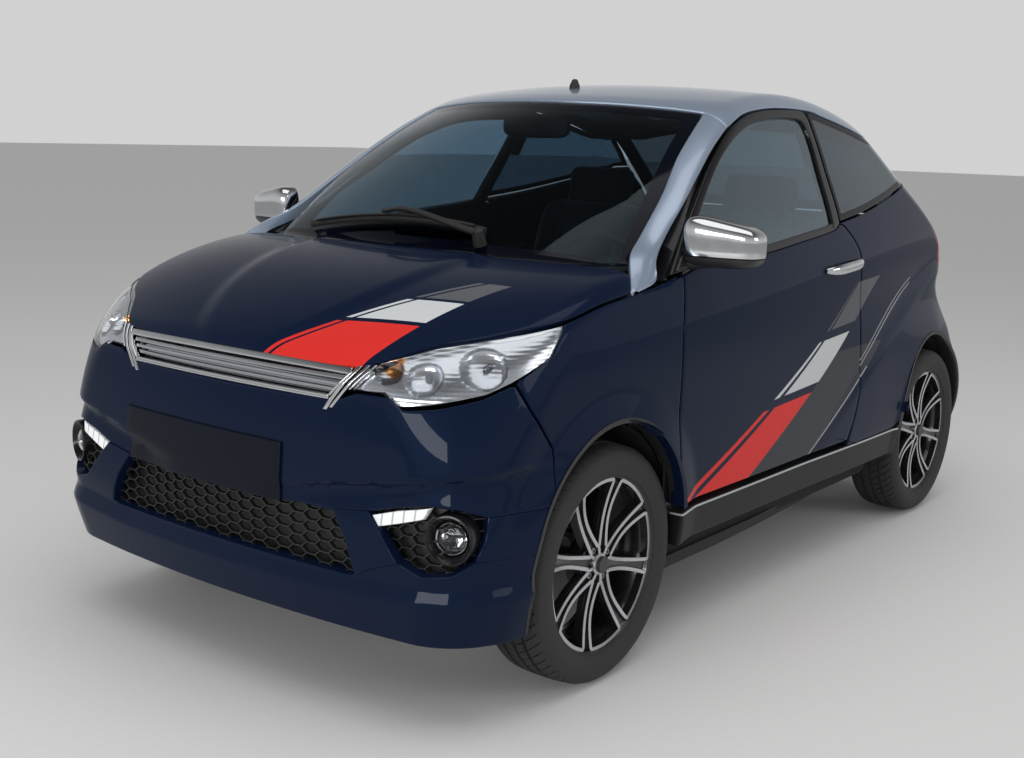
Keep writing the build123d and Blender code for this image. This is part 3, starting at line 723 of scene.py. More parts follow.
below_lamp = patch(
    "tail", np.vstack([wing_rear[1:2], on_rear([(0.655, 0.6), (0.62, 0.6), (0.482, 0.606)], 0.9)]),
    np.vstack([wing_rear[3:4], on_rear([(0.64, 0.797), (0.6, 0.797), (0.568, 0.796)], 0.9)]), low_rear,
    on_rear(SEAM_LOW), 30, 20, rims="frh")
high_rear = along(wing_rear[5:8], np.linspace(0, 1, 12))
above_lamp = patch(
    "tail", np.vstack([wing_rear[5:6], on_rear([(0.63, 0.99), (0.6, 0.99), (0.568, 0.99)], 0.9)]),
    np.vstack([wing_rear[7:8], on_rear([(0.576, 1.149), (0.543, 1.152)], 0.6)]), high_rear,
    on_rear(SEAM_HIGH, 0.6), 24, 20, rims="frh")
two_sides("rear_quarter", joined([wing, below_lamp, above_lamp]), side_finish, "body", "body_paint",
          ["rear_quarters"])

# ---------------------------------------------------------------------------------------
# Roof: a silver lacquered lid glued on, in one with both windscreen posts, which run down
# to the hood's corners; its rear corners end in small spoiler lips over the side glass.

ROOF_SIDE = [(-0.19, 1.301), (-0.076, 1.34), (0.046, 1.358), (0.184, 1.365), (0.373, 1.362),
             (0.465, 1.347), (0.608, 1.323), (0.735, 1.298), (0.842, 1.276)]
POST_OUTER = [(0.707, -0.838, 0.917), (0.704, -0.756, 0.937), (0.676, -0.712, 0.978),
              (0.656, -0.661, 1.011), (0.641, -0.592, 1.058), (0.628, -0.513, 1.112),
              (0.603, -0.402, 1.183), (0.58, -0.3, 1.245), (0.558, -0.19, 1.301)]
POST_INNER = [(0.703, -0.866, 0.918), (0.668, -0.815, 0.957), (0.632, -0.762, 0.997),
              (0.603, -0.676, 1.035), (0.575, -0.545, 1.121), (0.554, -0.472, 1.172),
              (0.533, -0.4, 1.223), (0.508, -0.288, 1.289), (0.484, -0.187, 1.34)]


def rungs(inner, outer, away, bow, rims, thick):
    """A strip of straight rungs between two lines in space, bowed a little along away, the
    direction its face looks in."""
    nv, roll = 8, 0.0035
    inner, outer = smooth_line(inner), smooth_line(outer)
    run = np.append(0, np.cumsum(np.linalg.norm(np.diff((inner + outer) / 2, axis=0), axis=1)))
    u = steps(run[-1], int(run[-1] / STEP), "l" in rims, "r" in rims, roll)
    wide = np.linalg.norm(inner - outer, axis=1).mean()
    v = steps(wide, nv, "f" in rims, "h" in rims, roll)
    a, b = (np.stack([np.interp(u * run[-1], run, e[:, k]) for k in range(3)], -1)
            for e in (inner, outer))
    away = np.array(away, float) / np.linalg.norm(away)
    grid = (a[:, None] + (b - a)[:, None] * v[None, :, None]
            + away * (4 * bow * v * (1 - v))[None, :, None])
    shape = grid.shape[:2]
    return sheet(grid, np.broadcast_to(away, grid.shape), np.broadcast_to(u[:, None] * run[-1], shape),
                 np.broadcast_to(v[None] * wide, shape), rims, thick, roll)


silver_finish = Finish("silver_lacquer", (0.31, 0.38, 0.49), 0.3, 0.5, Coat_Weight=0.7,
                       Coat_Roughness=0.03)
silver_finish.set("Base Color", silver_finish.blend(silver_finish.noise(1100.0, 1.0),
                                                    (0.25, 0.315, 0.42), (0.37, 0.445, 0.56)))
roof_edge = side_curve(ROOF_SIDE)
header_line = on_top(
    smooth_line([(0, -0.322), (0.143, -0.309), (0.3, -0.262), (0.42, -0.213), (0.484, -0.187)]), 0.9)
roof_front = np.vstack([header_line, roof_edge[:1]])
roof_rear = np.vstack([on_top([(0, 0.87), (0.25, 0.869), (0.42, 0.862), (0.48, 0.853)], 0.9),
                       roof_edge[-1:]])
roof_lid = patch("roof", *over_middle(roof_front, roof_rear, roof_edge), 80, 70, thick=0.026)
post = rungs(POST_INNER, POST_OUTER, (0.7, -0.4, 0.6), 0.007, rims="flh", thick=0.03)
make_piece("roof_lid", joined([roof_lid, post, flipped(post)]), silver_finish, "body", "roof_paint",
           ["roof"])

# ---------------------------------------------------------------------------------------
# Windows: curved sheets, bonded in at the front and the sides. Each has a black printed
# border over its glue; the ones behind the driver are tinted dark.


def window(name, tint, border, gloss=1.45):
    """Clear or tinted sheet; a point attribute holds the distance to the rim, and the
    printed border covers everything nearer to it than border. gloss is the index that
    sets how strongly the sheet mirrors."""
    finish = Finish(name, tint, 0.0, 0.0, Transmission_Weight=1.0, IOR=gloss,
                    Specular_Tint=(0.7, 0.9, 1.0, 1.0))
    tree, shader = finish.tree, finish.shader
    rim = finish.node("ShaderNodeAttribute", {"attribute_name": "rim"}, output=2)
    printed = tree.nodes.new("ShaderNodeBsdfPrincipled")
    printed.inputs["Base Color"].default_value = (0.002, 0.003, 0.007, 1)
    printed.inputs["Specular IOR Level"].default_value = 0.12
    printed.inputs["Roughness"].default_value = 0.06
    mixed = finish.node("ShaderNodeMixShader", inputs={0: rim < border})
    tree.links.new(shader.outputs[0], mixed.socket.node.inputs[1])
    tree.links.new(printed.outputs[0], mixed.socket.node.inputs[2])
    tree.links.new(mixed.socket, tree.nodes["Material Output"].inputs[0])
    return finish


def mark_rim(piece, outline):
    """Stores each vertex's distance to the outline in the attribute rim."""
    count = len(piece.data.vertices)
    co = np.empty(count * 3)
    piece.data.vertices.foreach_get("co", co)
    co = co.reshape(-1, 3)
    fine = along(outline, np.linspace(0, 1, 500))
    near = np.concatenate([np.linalg.norm(part[:, None] - fine[None], axis=2).min(1)
                           for part in np.array_split(co, 40)])
    layer = piece.data.attributes.new("rim", "FLOAT", "POINT")
    layer.data.foreach_set("value", near.astype(np.float32))


def glaze(name, chart, edges, nu, nv, finish, body, slot, node, sides=("",), **more):
    """A pane from its foot, head, left and right edge, with its rim marked; sides names one
    pane on the middle plane, or a left and a right one."""
    foot, head, left, right = edges
    shape, outline = (patch(chart, *edges, nu, nv, **more),
                      np.vstack([foot, right, head[::-1], left[::-1]]))
    for side in sides:
        if side == "right":
            shape, outline = flipped(shape), outline * MIRRORED
        label = f"{name}_{side}" if side else name
        mark_rim(make_piece(label, shape, finish, body.format(side), slot, [node.format(side)]),
                 outline)


clear_glass = window("clear_glass", (0.3, 0.4, 0.48), 0.045, 1.22)
door_glass_finish = window("door_glass_finish", (0.34, 0.5, 0.62), 0.004, 1.95)
dark_glass = window("dark_glass", (0.1, 0.17, 0.24), 0.02, 1.8)
screen_head = on_top(
    smooth_line([(0, -0.328), (0.143, -0.315), (0.3, -0.268), (0.42, -0.219), (0.476, -0.193)]), 0.9)
screen_side = on_top(smooth_line([(0.64, -0.8), (0.626, -0.738), (0.608, -0.665), (0.585, -0.56),
                                  (0.543, -0.4), (0.514, -0.288), (0.476, -0.193)]), 0.7)
screen_foot = on_top(
    smooth_line([(0, -0.9), (0.249, -0.885), (0.434, -0.852), (0.56, -0.818), (0.64, -0.8)]), 0.7)
glaze("windscreen_glass", "hood", over_middle(screen_foot, screen_head, screen_side), 70, 50,
      clear_glass, "body", "window_glass", "windscreen", thick=0.005, roll=0.001, sink=0.004)

glass_foot = side_curve([(-0.54, 0.96), (-0.4, 0.972), (-0.189, 0.982), (0.018, 1.0), (0.252, 1.022)])
glass_front = side_curve([(-0.54, 0.96), (-0.551, 1.005), (-0.541, 1.048), (-0.48, 1.097),
                          (-0.39, 1.159), (-0.286, 1.223)])
glass_head = side_curve([(-0.286, 1.223), (-0.17, 1.277), (-0.06, 1.312), (0.05, 1.33), (0.15, 1.337),
                                  (0.25, 1.337), (0.29, 1.328)])
glass_rear = side_curve([(0.252, 1.022), (0.278, 1.13), (0.301, 1.24), (0.305, 1.302), (0.29, 1.328)])
glaze("door_pane", "side", (glass_foot, glass_head, glass_front, glass_rear), 50, 36, door_glass_finish,
      "door_{}", "window_glass", "door_glass_{}", ("left", "right"), thick=0.004, roll=0.001,
      sink=0.008)

quarter_foot = np.vstack(
    [side_curve([(0.31, 1.041), (0.522, 1.065), (0.729, 1.097), (0.9, 1.128), (0.985, 1.145)]),
     on_rear([(0.576, 1.156), (0.543, 1.158)])])
quarter_head = np.vstack(
    [side_curve([(0.347, 1.35), (0.373, 1.355), (0.465, 1.34), (0.608, 1.316), (0.735, 1.291),
                 (0.8, 1.278)]), on_rear([(0.515, 1.273), (0.497, 1.275)], 0.45)])
quarter_front = side_curve([(0.31, 1.041), (0.34, 1.212), (0.349, 1.32), (0.347, 1.35)])
quarter_rear = on_rear([(0.543, 1.158), (0.521, 1.215), (0.497, 1.275)], 0.45)
glaze("quarter_pane", "roof", (quarter_foot, quarter_head, quarter_front, quarter_rear), 70, 30,
      dark_glass, "body", "tinted_glass", "quarter_glasses", ("left", "right"), thick=0.004,
      roll=0.0015, sink=0.001)

# ---------------------------------------------------------------------------------------
# Tailgate: a moulded lower panel with a blank plate field, and a frameless dark rear
# window glued to it, which lifts with it on two hinges in the roof.

GATE_SIDE = [(0.474, 0.602), (0.52, 0.69), (0.56, 0.776), (0.562, 0.8), (0.562, 0.99), (0.559, 1.012)]
gate_side = on_rear(GATE_SIDE, 0.45)
gate_foot = on_rear([(0, 0.6), (0.25, 0.6), (0.43, 0.6), (0.474, 0.602)], 0.45)
gate_head = on_rear([(0, 1.012), (0.25, 1.012), (0.45, 1.012), (0.559, 1.012)], 0.45)
gate = patch("back", *over_middle(gate_foot, gate_head, gate_side), 60, 36, thick=0.03)
make_piece("tailgate_skin", gate, body_finish, "tailgate", "body_paint", ["tailgate"])
gate_glass_side = on_rear(
    smooth_line([(0.558, 1.018), (0.546, 1.09), (0.53, 1.16), (0.513, 1.225), (0.497, 1.29)]), 0.45)
gate_glass_head = on_top(smooth_line([(0, 0.88), (0.2, 0.88), (0.4, 0.884)]), 0.9)
gate_glass_head = np.vstack([gate_glass_head, gate_glass_side[-1:]])
gate_glass_foot = on_rear([(0, 1.018), (0.25, 1.018), (0.45, 1.018), (0.558, 1.018)], 0.45)
rear_glass = window("rear_glass", (0.1, 0.13, 0.15), 0.055, 1.5)
glaze("rear_window", "roof", over_middle(gate_glass_foot, gate_glass_head, gate_glass_side), 60, 40,
      rear_glass, "tailgate", "tinted_glass", "tailgate_glass", thick=0.004, roll=0.0015, sink=0.001)

# ---------------------------------------------------------------------------------------
# Front bumper: one moulded, lacquered skin from wheel arch to wheel arch, with a crease over
# the fog lamps, a lip along its foot, and openings for the lower grille and the lamps.

NOSE_TOP = [(0, 0.697), (0.2, 0.698), (0.33, 0.701), (0.36, 0.704), (0.4, 0.72), (0.486, 0.722),
            (0.52, 0.699), (0.588, 0.707), (0.652, 0.727), (0.68, 0.75)]
NOSE_MIDDLE = [(0, 0.458), (0.35, 0.458), (0.445, 0.472), (0.52, 0.494), (0.596, 0.508), (0.65, 0.502),
               (0.69, 0.486)]
NOSE_LOWER = [(0, 0.325), (0.4, 0.325), (0.42, 0.33), (0.47, 0.356), (0.536, 0.378), (0.59, 0.358),
              (0.65, 0.366), (0.684, 0.396)]
arch_front = on_side(arch_line(FRONT_AXLE, 196.0, 141.0, 60))


def arch_at(height):
    """The arch's front edge up to the point nearest to a height."""
    return int(np.abs(arch_front[:, 2] - height).argmin())


mid_i, low_i = arch_at(0.48), arch_at(0.385)
nose_top = np.vstack([on_front(NOSE_TOP), on_side([(-1.266, 0.75)])])
seam = on_side([(-1.176, 0.608), (-1.241, 0.695), (-1.266, 0.75)])
nose_middle = np.vstack([on_front(NOSE_MIDDLE), arch_front[mid_i:mid_i + 1]])
nose_lower = np.vstack([on_front(NOSE_LOWER), arch_front[low_i:low_i + 1]])
nose_foot = np.vstack([on_front([(0, 0.198), (0.2, 0.198), (0.45, 0.198), (0.62, 0.199)]),
                       arch_front[:1]])
upper_right = np.vstack([arch_front[mid_i:], seam])
upper = patch("nose", *over_middle(nose_middle, nose_top, upper_right), 150, 40, thick=0.03)
lower = patch("nose", *over_middle(nose_foot, nose_lower, arch_front[:low_i + 1]), 150, 26, thick=0.03)
blade = patch(
    "nose", on_front([(0.42, 0.33), (0.47, 0.356), (0.536, 0.378)]),
    on_front([(0.35, 0.462), (0.45, 0.474)]),
    on_front([(0.42, 0.33), (0.416, 0.345), (0.393, 0.406), (0.35, 0.462)]),
    on_front([(0.536, 0.378), (0.495, 0.425), (0.45, 0.474)]), 14, 16, rims="lr", thick=0.03,
    sink=-0.004)
outboard = patch("nose", np.vstack([on_front([(0.684, 0.396)]), arch_front[low_i:low_i + 1]]),
                 np.vstack([on_front([(0.69, 0.486)]), arch_front[mid_i:mid_i + 1]]),
                 on_front(smooth_line([(0.684, 0.396), (0.692, 0.44), (0.69, 0.486)])),
                 arch_front[low_i:mid_i + 1], 12, 12, rims="lr", thick=0.03)
bumper_finish = lacquer("bumper_lacquer")
make_piece("front_bumper_skin",
           joined([upper, lower, blade, flipped(blade), outboard, flipped(outboard)]), bumper_finish,
           "body", "body_paint", ["front_bumper"])


def panel(chart, cast, foot, head, nu, nv, **more):
    """A patch whose sides run straight from its foot's ends to its head's; cast puts pairs
    of numbers on the skin."""
    sides = [cast([foot[k], head[k]]) for k in (0, -1)]
    return patch(chart, cast(foot), cast(head), *sides, nu, nv, **more)


# Plate field: a blank panel in the bumper's own colour, clipped on over the lower grille.
plate_finish = Finish("blank_plate", (0.0025, 0.0045, 0.012), 0.42, Specular_IOR_Level=0.15)
plate_finish.bump(plate_finish.noise(350.0), 0.05, 0.001)
plate = panel("nose", on_front, [(-0.345, 0.456), (-0.07, 0.456), (0.206, 0.456)],
              [(-0.345, 0.588), (-0.07, 0.588), (0.206, 0.588)], 24, 10, thick=0.01, roll=0.003,
              sink=-0.007)
make_piece("plate_field", plate, plate_finish, "body", "black_plastic")

# ---------------------------------------------------------------------------------------
# Grilles: black honeycomb behind the lower opening and in the lamp pockets; above, dark
# slats in a plated frame, moulded in one and clipped into the nose.

grille_black = Finish("grille_black", (0.014, 0.014, 0.015), 0.45)
grille_black.set("Roughness", 0.36 + 0.2 * grille_black.noise(120.0))
grille_black.bump(grille_black.noise(900.0), 0.15, 0.0005)


def inside_outline(x, z, outline):
    """Whether points lie inside an (x, z) outline, by counting the edges left of each."""
    ax, az = np.array(outline).T[:, :, None]
    bx, bz = np.roll(ax, -1, 0), np.roll(az, -1, 0)
    crosses = ((az > z) != (bz > z)) & (x < (bx - ax) * (z - az) / (bz - az + 1e-12) + ax)
    return crosses.sum(0) % 2 == 1


def bars(start, end, out, width, depth):
    """Straight four-sided bars from start to end points, width across and depth along out."""
    run = end - start
    run /= np.linalg.norm(run, axis=1, keepdims=True)
    side = np.cross(run, out)
    side /= np.linalg.norm(side, axis=1, keepdims=True)
    ring = [side * width / 2 * a + out * depth / 2 * b
            for a, b in ((-1, -1), (1, -1), (0.55, 1), (-0.55, 1))]
    verts = np.concatenate(
        [np.stack([start + r for r in ring], 1), np.stack([end + r for r in ring], 1)], 1)
    quads = np.array([(0, 1, 2, 3), (7, 6, 5, 4), (0, 4, 5, 1), (1, 5, 6, 2), (2, 6, 7, 3),
                      (3, 7, 4, 0)])
    faces = (quads[None] + 8 * np.arange(len(start))[:, None, None]).reshape(-1, 4)
    return verts.reshape(-1, 3), faces


COMB_WIDE, COMB_DEEP = 0.0042, 0.01


def honeycomb(outline, flat, slant, half, sink):
    """Long hexagons across an (x, z) outline: each cell gives its top bar and two slanted
    ones on its right, laid on the skin and sunk behind it."""
    lo, hi = np.min(outline, axis=0), np.max(outline, axis=0)
    column, row = np.meshgrid(np.arange(-30, 31), np.arange(-12, 13))
    column, row = column.ravel(), row.ravel()
    cx = (lo[0] + hi[0]) / 2 + column * (flat + slant)
    cz = (lo[1] + hi[1]) / 2 + (2 * row + column % 2) * half
    corners = [(-flat / 2, half), (flat / 2, half), (flat / 2 + slant, 0), (flat / 2, -half)]
    ends = [np.stack([cx + dx, cz + dz], 1) for dx, dz in corners]
    a, b = np.concatenate(ends[:3]), np.concatenate(ends[1:])
    keep = inside_outline(*((a + b) / 2).T, outline)
    a, b = on_front(a[keep]), on_front(b[keep])
    out = np.array((0.0, -1.0, 0.0))
    return bars(a - out * sink, b - out * sink, np.broadcast_to(out, a.shape), COMB_WIDE, COMB_DEEP)


LOWER_OPENING = [(-0.362, 0.47), (0.362, 0.47), (0.398, 0.41), (0.426, 0.345), (0.415, 0.318),
                 (-0.415, 0.318), (-0.426, 0.345), (-0.398, 0.41)]
comb = honeycomb(LOWER_OPENING, 0.024, 0.016, 0.0125, 0.02)
backing = panel("nose", on_front, [(-0.44, 0.306), (0, 0.306), (0.44, 0.306)],
                [(-0.38, 0.48), (0, 0.48), (0.38, 0.48)], 30, 8, thick=0.006, sink=0.046)
make_piece("lower_grille_comb", joined([comb, backing]), grille_black, "body", "black_plastic",
           ["lower_grille"], sharp=40)

plated = Finish("bright_plating", (0.62, 0.63, 0.65), 0.09, 1.0)
plated.set("Roughness", 0.05 + 0.1 * plated.noise(35.0))
smoked = Finish("smoked_slats", (0.46, 0.48, 0.51), 0.14, 1.0)
smoked.set("Roughness", 0.12 + 0.12 * smoked.noise(50.0))


def nose_strip(line, width, proud=0.003, thick=0.01, up=(0.0, 1.0)):
    """A thin strip laid on the nose along an (x, z) line, widened towards up."""
    line = np.asarray(line, float)
    shift = np.array(up) * width / 2
    return ribbon("nose", on_front(line - shift), on_front(line + shift), 3, thick=thick,
                  roll=min(0.003, width * 0.4), sink=-proud)


UPPER_X = np.linspace(-1, 1, 17)
frame_top = np.stack([UPPER_X * 0.374, 0.7665 - 0.004 * UPPER_X ** 2], 1)
frame_low = np.stack([UPPER_X * 0.33, 0.7045 + 0 * UPPER_X], 1)
ends = [nose_strip([(s * 0.376, 0.762), (s * 0.354, 0.735), (s * 0.33, 0.707)], 0.008, up=(s, 0.0))
        for s in (-1, 1)]
surround = joined([nose_strip(frame_top, 0.013), nose_strip(frame_low, 0.011)] + ends)
make_piece("upper_grille_frame", surround, plated, "body", "bright_trim", ["upper_grille"])
slats = [nose_strip(np.stack([UPPER_X * (0.336 + 0.58 * (h - 0.709)), h + 0 * UPPER_X], 1), 0.0105,
                    proud=-0.006 - 0.002 * k, thick=0.014)
         for k, h in enumerate((0.7505, 0.7355, 0.7205))]
backing = panel("nose", on_front, [(-0.33, 0.704), (0, 0.702), (0.33, 0.704)],
                [(-0.376, 0.766), (0, 0.769), (0.376, 0.766)], 40, 8, thick=0.006, sink=0.024)
make_piece("upper_grille_slats", joined(slats + [backing]), smoked, "body", "black_plastic")

# Slanted plated bars between the grille and each headlamp.
slanted = [
    nose_strip([(0.39, 0.774), (0.364, 0.737), (0.333, 0.694), (0.322, 0.676)], 0.011, up=(1.0, 0.0)),
    nose_strip([(0.409, 0.777), (0.383, 0.741), (0.35, 0.698), (0.338, 0.682)], 0.009, up=(1.0, 0.0)),
    nose_strip([(0.426, 0.779), (0.405, 0.752), (0.384, 0.726)], 0.006, up=(1.0, 0.0))]
two_sides("slanted_bars", joined(slanted), plated, "body", "bright_trim")

# ---------------------------------------------------------------------------------------
# Headlamps: a clear moulded lens over plated bowls, with the amber indicator towards the
# grille. The lens lies flush between hood, fender and bumper.


LAMP_OUT = np.array((0.35, -0.93, 0.1))   # the way the headlamps look


def housing(chart, edges, nu, nv, base, pits):
    """A plated floor under a lens: the skin, sunk by base and by a round pit at each of
    pits, given as (centre, radius, depth)."""
    verts, faces = patch(chart, *edges, nu, nv, rims="", thick=0.0)
    half = len(verts) // 2
    top = verts[:half]
    inward = -LAMP_OUT
    sink = np.full(half, base)
    for centre, radius, depth in pits:
        centre = on_front([centre])[0]
        off = np.linalg.norm(top - centre, axis=1) / radius
        sink += depth * np.sqrt(np.clip(1 - off ** 2, 0, 1))
    floor_points = top + inward * sink[:, None]
    return np.vstack([floor_points, floor_points + inward * 0.004]), faces


def wrapped(grid, capped=False, looped=False):
    """Vertices and faces of a grid whose rows close on themselves. capped draws the first and
    last row together at their middles; looped joins the last row to the first."""
    if capped:
        first, last = (row.mean(1, keepdims=True).repeat(grid.shape[1], 1)
                       for row in (grid[:1], grid[-1:]))
        grid = np.concatenate([first, grid, last])
    a = np.arange(grid.shape[0] * grid.shape[1]).reshape(grid.shape[:2])
    b, d = np.roll(a, -1, 1), np.roll(a, -1, 0)
    faces = np.stack([a, b, np.roll(b, -1, 0), d], -1)
    return grid.reshape(-1, 3), (faces if looped else faces[:-1]).reshape(-1, 4)


def lathe(profile, centre, axis, count=48):
    """A profile of (distance along axis, radius) pairs turned about the axis through centre;
    ends of no radius close it."""
    profile = np.asarray(profile, float)
    axis = np.array(axis, float) / np.linalg.norm(axis)
    side = np.cross(axis, (0.0, 0.0, 1.0) if abs(axis[2]) < 0.9 else (1.0, 0.0, 0.0))
    side /= np.linalg.norm(side)
    other = np.cross(axis, side)
    a = np.linspace(0, 2 * np.pi, count, endpoint=False)
    ring = side * np.cos(a)[:, None] + other * np.sin(a)[:, None]
    return wrapped(np.array(centre) + axis * profile[:, None, :1] + ring[None] * profile[:, None, 1:])


def bare(color, roughness, metallic, name, spread=0.08, **more):
    """A plain finish with slightly uneven gloss."""
    finish = Finish(name, color, roughness, metallic, **more)
    finish.set("Roughness", (roughness - spread / 2) + spread * finish.noise(80.0))
    return finish


lens_edges = (
    on_front([(0.391, 0.728), (0.468, 0.73), (0.506, 0.706), (0.56, 0.713), (0.65, 0.736),
              (0.676, 0.758)]),
    np.array([(0.431, -1.4, 0.784), (0.518, -1.328, 0.817), (0.61, -1.254, 0.84),
              (0.688, -1.12, 0.865)]), on_front([(0.391, 0.728), (0.408, 0.755), (0.431, 0.784)]),
    np.array([(0.676, -1.272, 0.758), (0.703, -1.17, 0.806), (0.688, -1.12, 0.865)]))
clear_plastic = bare((0.96, 0.97, 0.98), 0.03, 0.0, "clear_lens", spread=0.02, Transmission_Weight=1.0,
                     IOR=1.3)
lens = patch("nose", *lens_edges, 40, 24, thick=0.003, roll=0.0012, sink=0.001)
two_sides("headlamp_lens", lens, clear_plastic, "body", "lamp_clear", ["headlamps"])
BOWL_SILVER, AMBER = (0.56, 0.58, 0.62), (0.8, 0.38, 0.13)
bowl_finish = Finish("lamp_bowls", BOWL_SILVER, 0.22, 0.9)
z = bowl_finish.place()[2]
folded = bowl_finish.node("ShaderNodeVectorMath", {"operation": "ABSOLUTE"}, {0: bowl_finish.point()})
from_amber = bowl_finish.node("ShaderNodeVectorMath", {"operation": "DISTANCE"},
                              {0: folded, 1: (0.452, 1.375, 0.772)}, output=1)
bowl_finish.set("Base Color", bowl_finish.blend(from_amber < 0.026, BOWL_SILVER, AMBER))
bowl_finish.bump(bowl_finish.math("SINE", 700.0 * z), 0.12, 0.001)
HIGH_BEAM, LOW_BEAM = (0.632, 0.787), (0.54, 0.762)
bowls = housing("nose", lens_edges, 90, 60, 0.014,
                [(HIGH_BEAM, 0.05, 0.036), (LOW_BEAM, 0.04, 0.032), ((0.462, 0.768), 0.03, 0.024)])
two_sides("headlamp_bowls", bowls, bowl_finish, "body", "bright_trim")
BULB = [(0.0, 0.0), (-0.004, 0.006), (-0.014, 0.009), (-0.022, 0.01)]
bulbs = [lathe(BULB, on_front([c])[0] + (-0.012, 0.03, -0.004), LAMP_OUT, 20)
         for c in (HIGH_BEAM, LOW_BEAM)]
two_sides("headlamp_bulbs", joined(bulbs), bare((0.25, 0.26, 0.28), 0.1, 1.0, "bulb_caps"), "body",
          "bright_trim")

# ---------------------------------------------------------------------------------------
# Fog lamps and day lights: black pockets in the bumper with honeycomb, a round lamp in a
# deep bezel near the corner and a slanted strip of five bright cells.

POCKET = [(0.444, 0.47), (0.52, 0.494), (0.596, 0.51), (0.662, 0.5), (0.694, 0.48), (0.696, 0.42),
          (0.672, 0.372), (0.59, 0.352), (0.534, 0.372), (0.494, 0.422)]
pocket_comb = honeycomb(POCKET, 0.022, 0.013, 0.0125, 0.03)
pocket_back = patch(
    "nose", on_front([(0.52, 0.345), (0.6, 0.34), (0.695, 0.372)]),
    on_front([(0.44, 0.48), (0.58, 0.515), (0.7, 0.49)]), on_front([(0.52, 0.345), (0.44, 0.48)]),
    on_front([(0.695, 0.372), (0.705, 0.43), (0.7, 0.49)]), 20, 14, thick=0.005, sink=0.046)
two_sides("lamp_pocket", joined([pocket_comb, pocket_back]), grille_black, "body", "black_plastic")
LAMP_AXIS = np.array((0.32, -0.947, 0.0))
lamp_at = on_front([(0.64, 0.44)])[0]
bezel = lathe([(-0.05, 0.03), (-0.02, 0.036), (-0.002, 0.047), (0.001, 0.05), (0.0, 0.0535),
               (-0.006, 0.055), (-0.06, 0.056)], lamp_at - LAMP_AXIS * 0.004, LAMP_AXIS, 64)
two_sides("fog_bezel", bezel, frame_black, "body", "black_plastic")
reflector = lathe([(-0.04, 0.0), (-0.036, 0.014), (-0.026, 0.024), (-0.014, 0.031), (-0.012, 0.0345),
                   (-0.03, 0.0345)], lamp_at - LAMP_AXIS * 0.01, LAMP_AXIS, 48)
two_sides("fog_reflector", reflector, plated, "body", "bright_trim")
dome = lathe([(0.004, 0.0), (0.003, 0.012), (-0.001, 0.024), (-0.009, 0.034), (-0.013, 0.034),
              (-0.006, 0.023), (-0.002, 0.011), (-0.001, 0.0)],
             lamp_at - LAMP_AXIS * 0.008, LAMP_AXIS, 48)
two_sides("fog_lens", dome, clear_plastic, "body", "lamp_clear", ["fog_lamps"])
day_body = panel("nose", on_front, [(0.457, 0.441), (0.52, 0.459), (0.583, 0.479)],
                 [(0.445, 0.464), (0.52, 0.487), (0.598, 0.505)], 40, 8, thick=0.016, roll=0.003,
                 sink=0.004)
DAY_START, DAY_CELL = 0.4535, 0.0276       # where the cells start and how wide each is
day_finish = Finish("day_light", (0.8, 0.82, 0.84), 0.12, 0.0, Coat_Weight=1.0, Coat_Roughness=0.03)
x = day_finish.place()[0]
cell = day_finish.math("PINGPONG", day_finish.math("ABSOLUTE", x) - DAY_START, DAY_CELL / 2)
day_finish.set("Base Color", day_finish.blend(cell < 0.0022, (0.82, 0.84, 0.86), (0.3, 0.32, 0.34)))
day_finish.set("Emission Color", (1.0, 1.0, 1.0, 1.0))
day_finish.set("Emission Strength", 0.25)
two_sides("day_light", day_body, day_finish, "body", "lamp_clear")

# ---------------------------------------------------------------------------------------
# Tail lamps: upright red lenses wrapped round the rear corners, ribbed inside, with a pale
# band for the reversing light.

lamp_left = on_side([(1.219, 0.801), (1.182, 0.88), (1.155, 0.984)])
lamp_right = on_rear([(0.5685, 0.801), (0.5685, 0.9), (0.5685, 0.984)], 0.9)
lamp_foot = np.vstack([lamp_left[:1], on_rear([(0.64, 0.801), (0.6, 0.801)], 0.9), lamp_right[:1]])
lamp_head = np.vstack([lamp_left[-1:], on_rear([(0.63, 0.984), (0.6, 0.984)], 0.9), lamp_right[-1:]])
red_lens = Finish("red_lens", (0.4, 0.008, 0.01), 0.07, 0.0, Coat_Weight=0.8, Coat_Roughness=0.02)
z = red_lens.place()[2]
rib = red_lens.math("PINGPONG", z, 0.006)
red = red_lens.blend(rib * 120.0, (0.16, 0.003, 0.004), (0.48, 0.008, 0.01))
red_lens.set("Base Color", red_lens.blend(between(z, 0.835, 0.868), red, (0.3, 0.22, 0.22)))
lamp = patch("tail", lamp_foot, lamp_head, lamp_left, lamp_right, 40, 26, thick=0.03, sink=-0.002)
two_sides("tail_lamp", lamp, red_lens, "body", "lamp_red", ["tail_lamps"])

# ---------------------------------------------------------------------------------------
# Rear bumper: one lacquered skin between the rear arches under the tailgate, with a black
# lower insert, two reflectors and a blank plate field.

rear_arch = on_side(arch_line(REAR_AXLE, -16.0, 42.3, 50))
rear_right = np.vstack([rear_arch, on_side([(1.332, 0.597)])])
rear_foot = np.vstack([on_rear([(0, 0.198), (0.25, 0.198), (0.5, 0.198), (0.62, 0.199)]),
                       rear_arch[:1]])
rear_head = np.vstack([on_rear([(0, 0.592), (0.25, 0.592), (0.476, 0.594), (0.6, 0.595),
                                (0.65, 0.596)]), rear_right[-1:]])
rear_skin = patch("tail", *over_middle(rear_foot, rear_head, rear_right), 130, 44, thick=0.01)
make_piece("rear_bumper_skin", rear_skin, bumper_finish, "body", "body_paint", ["rear_bumper"])
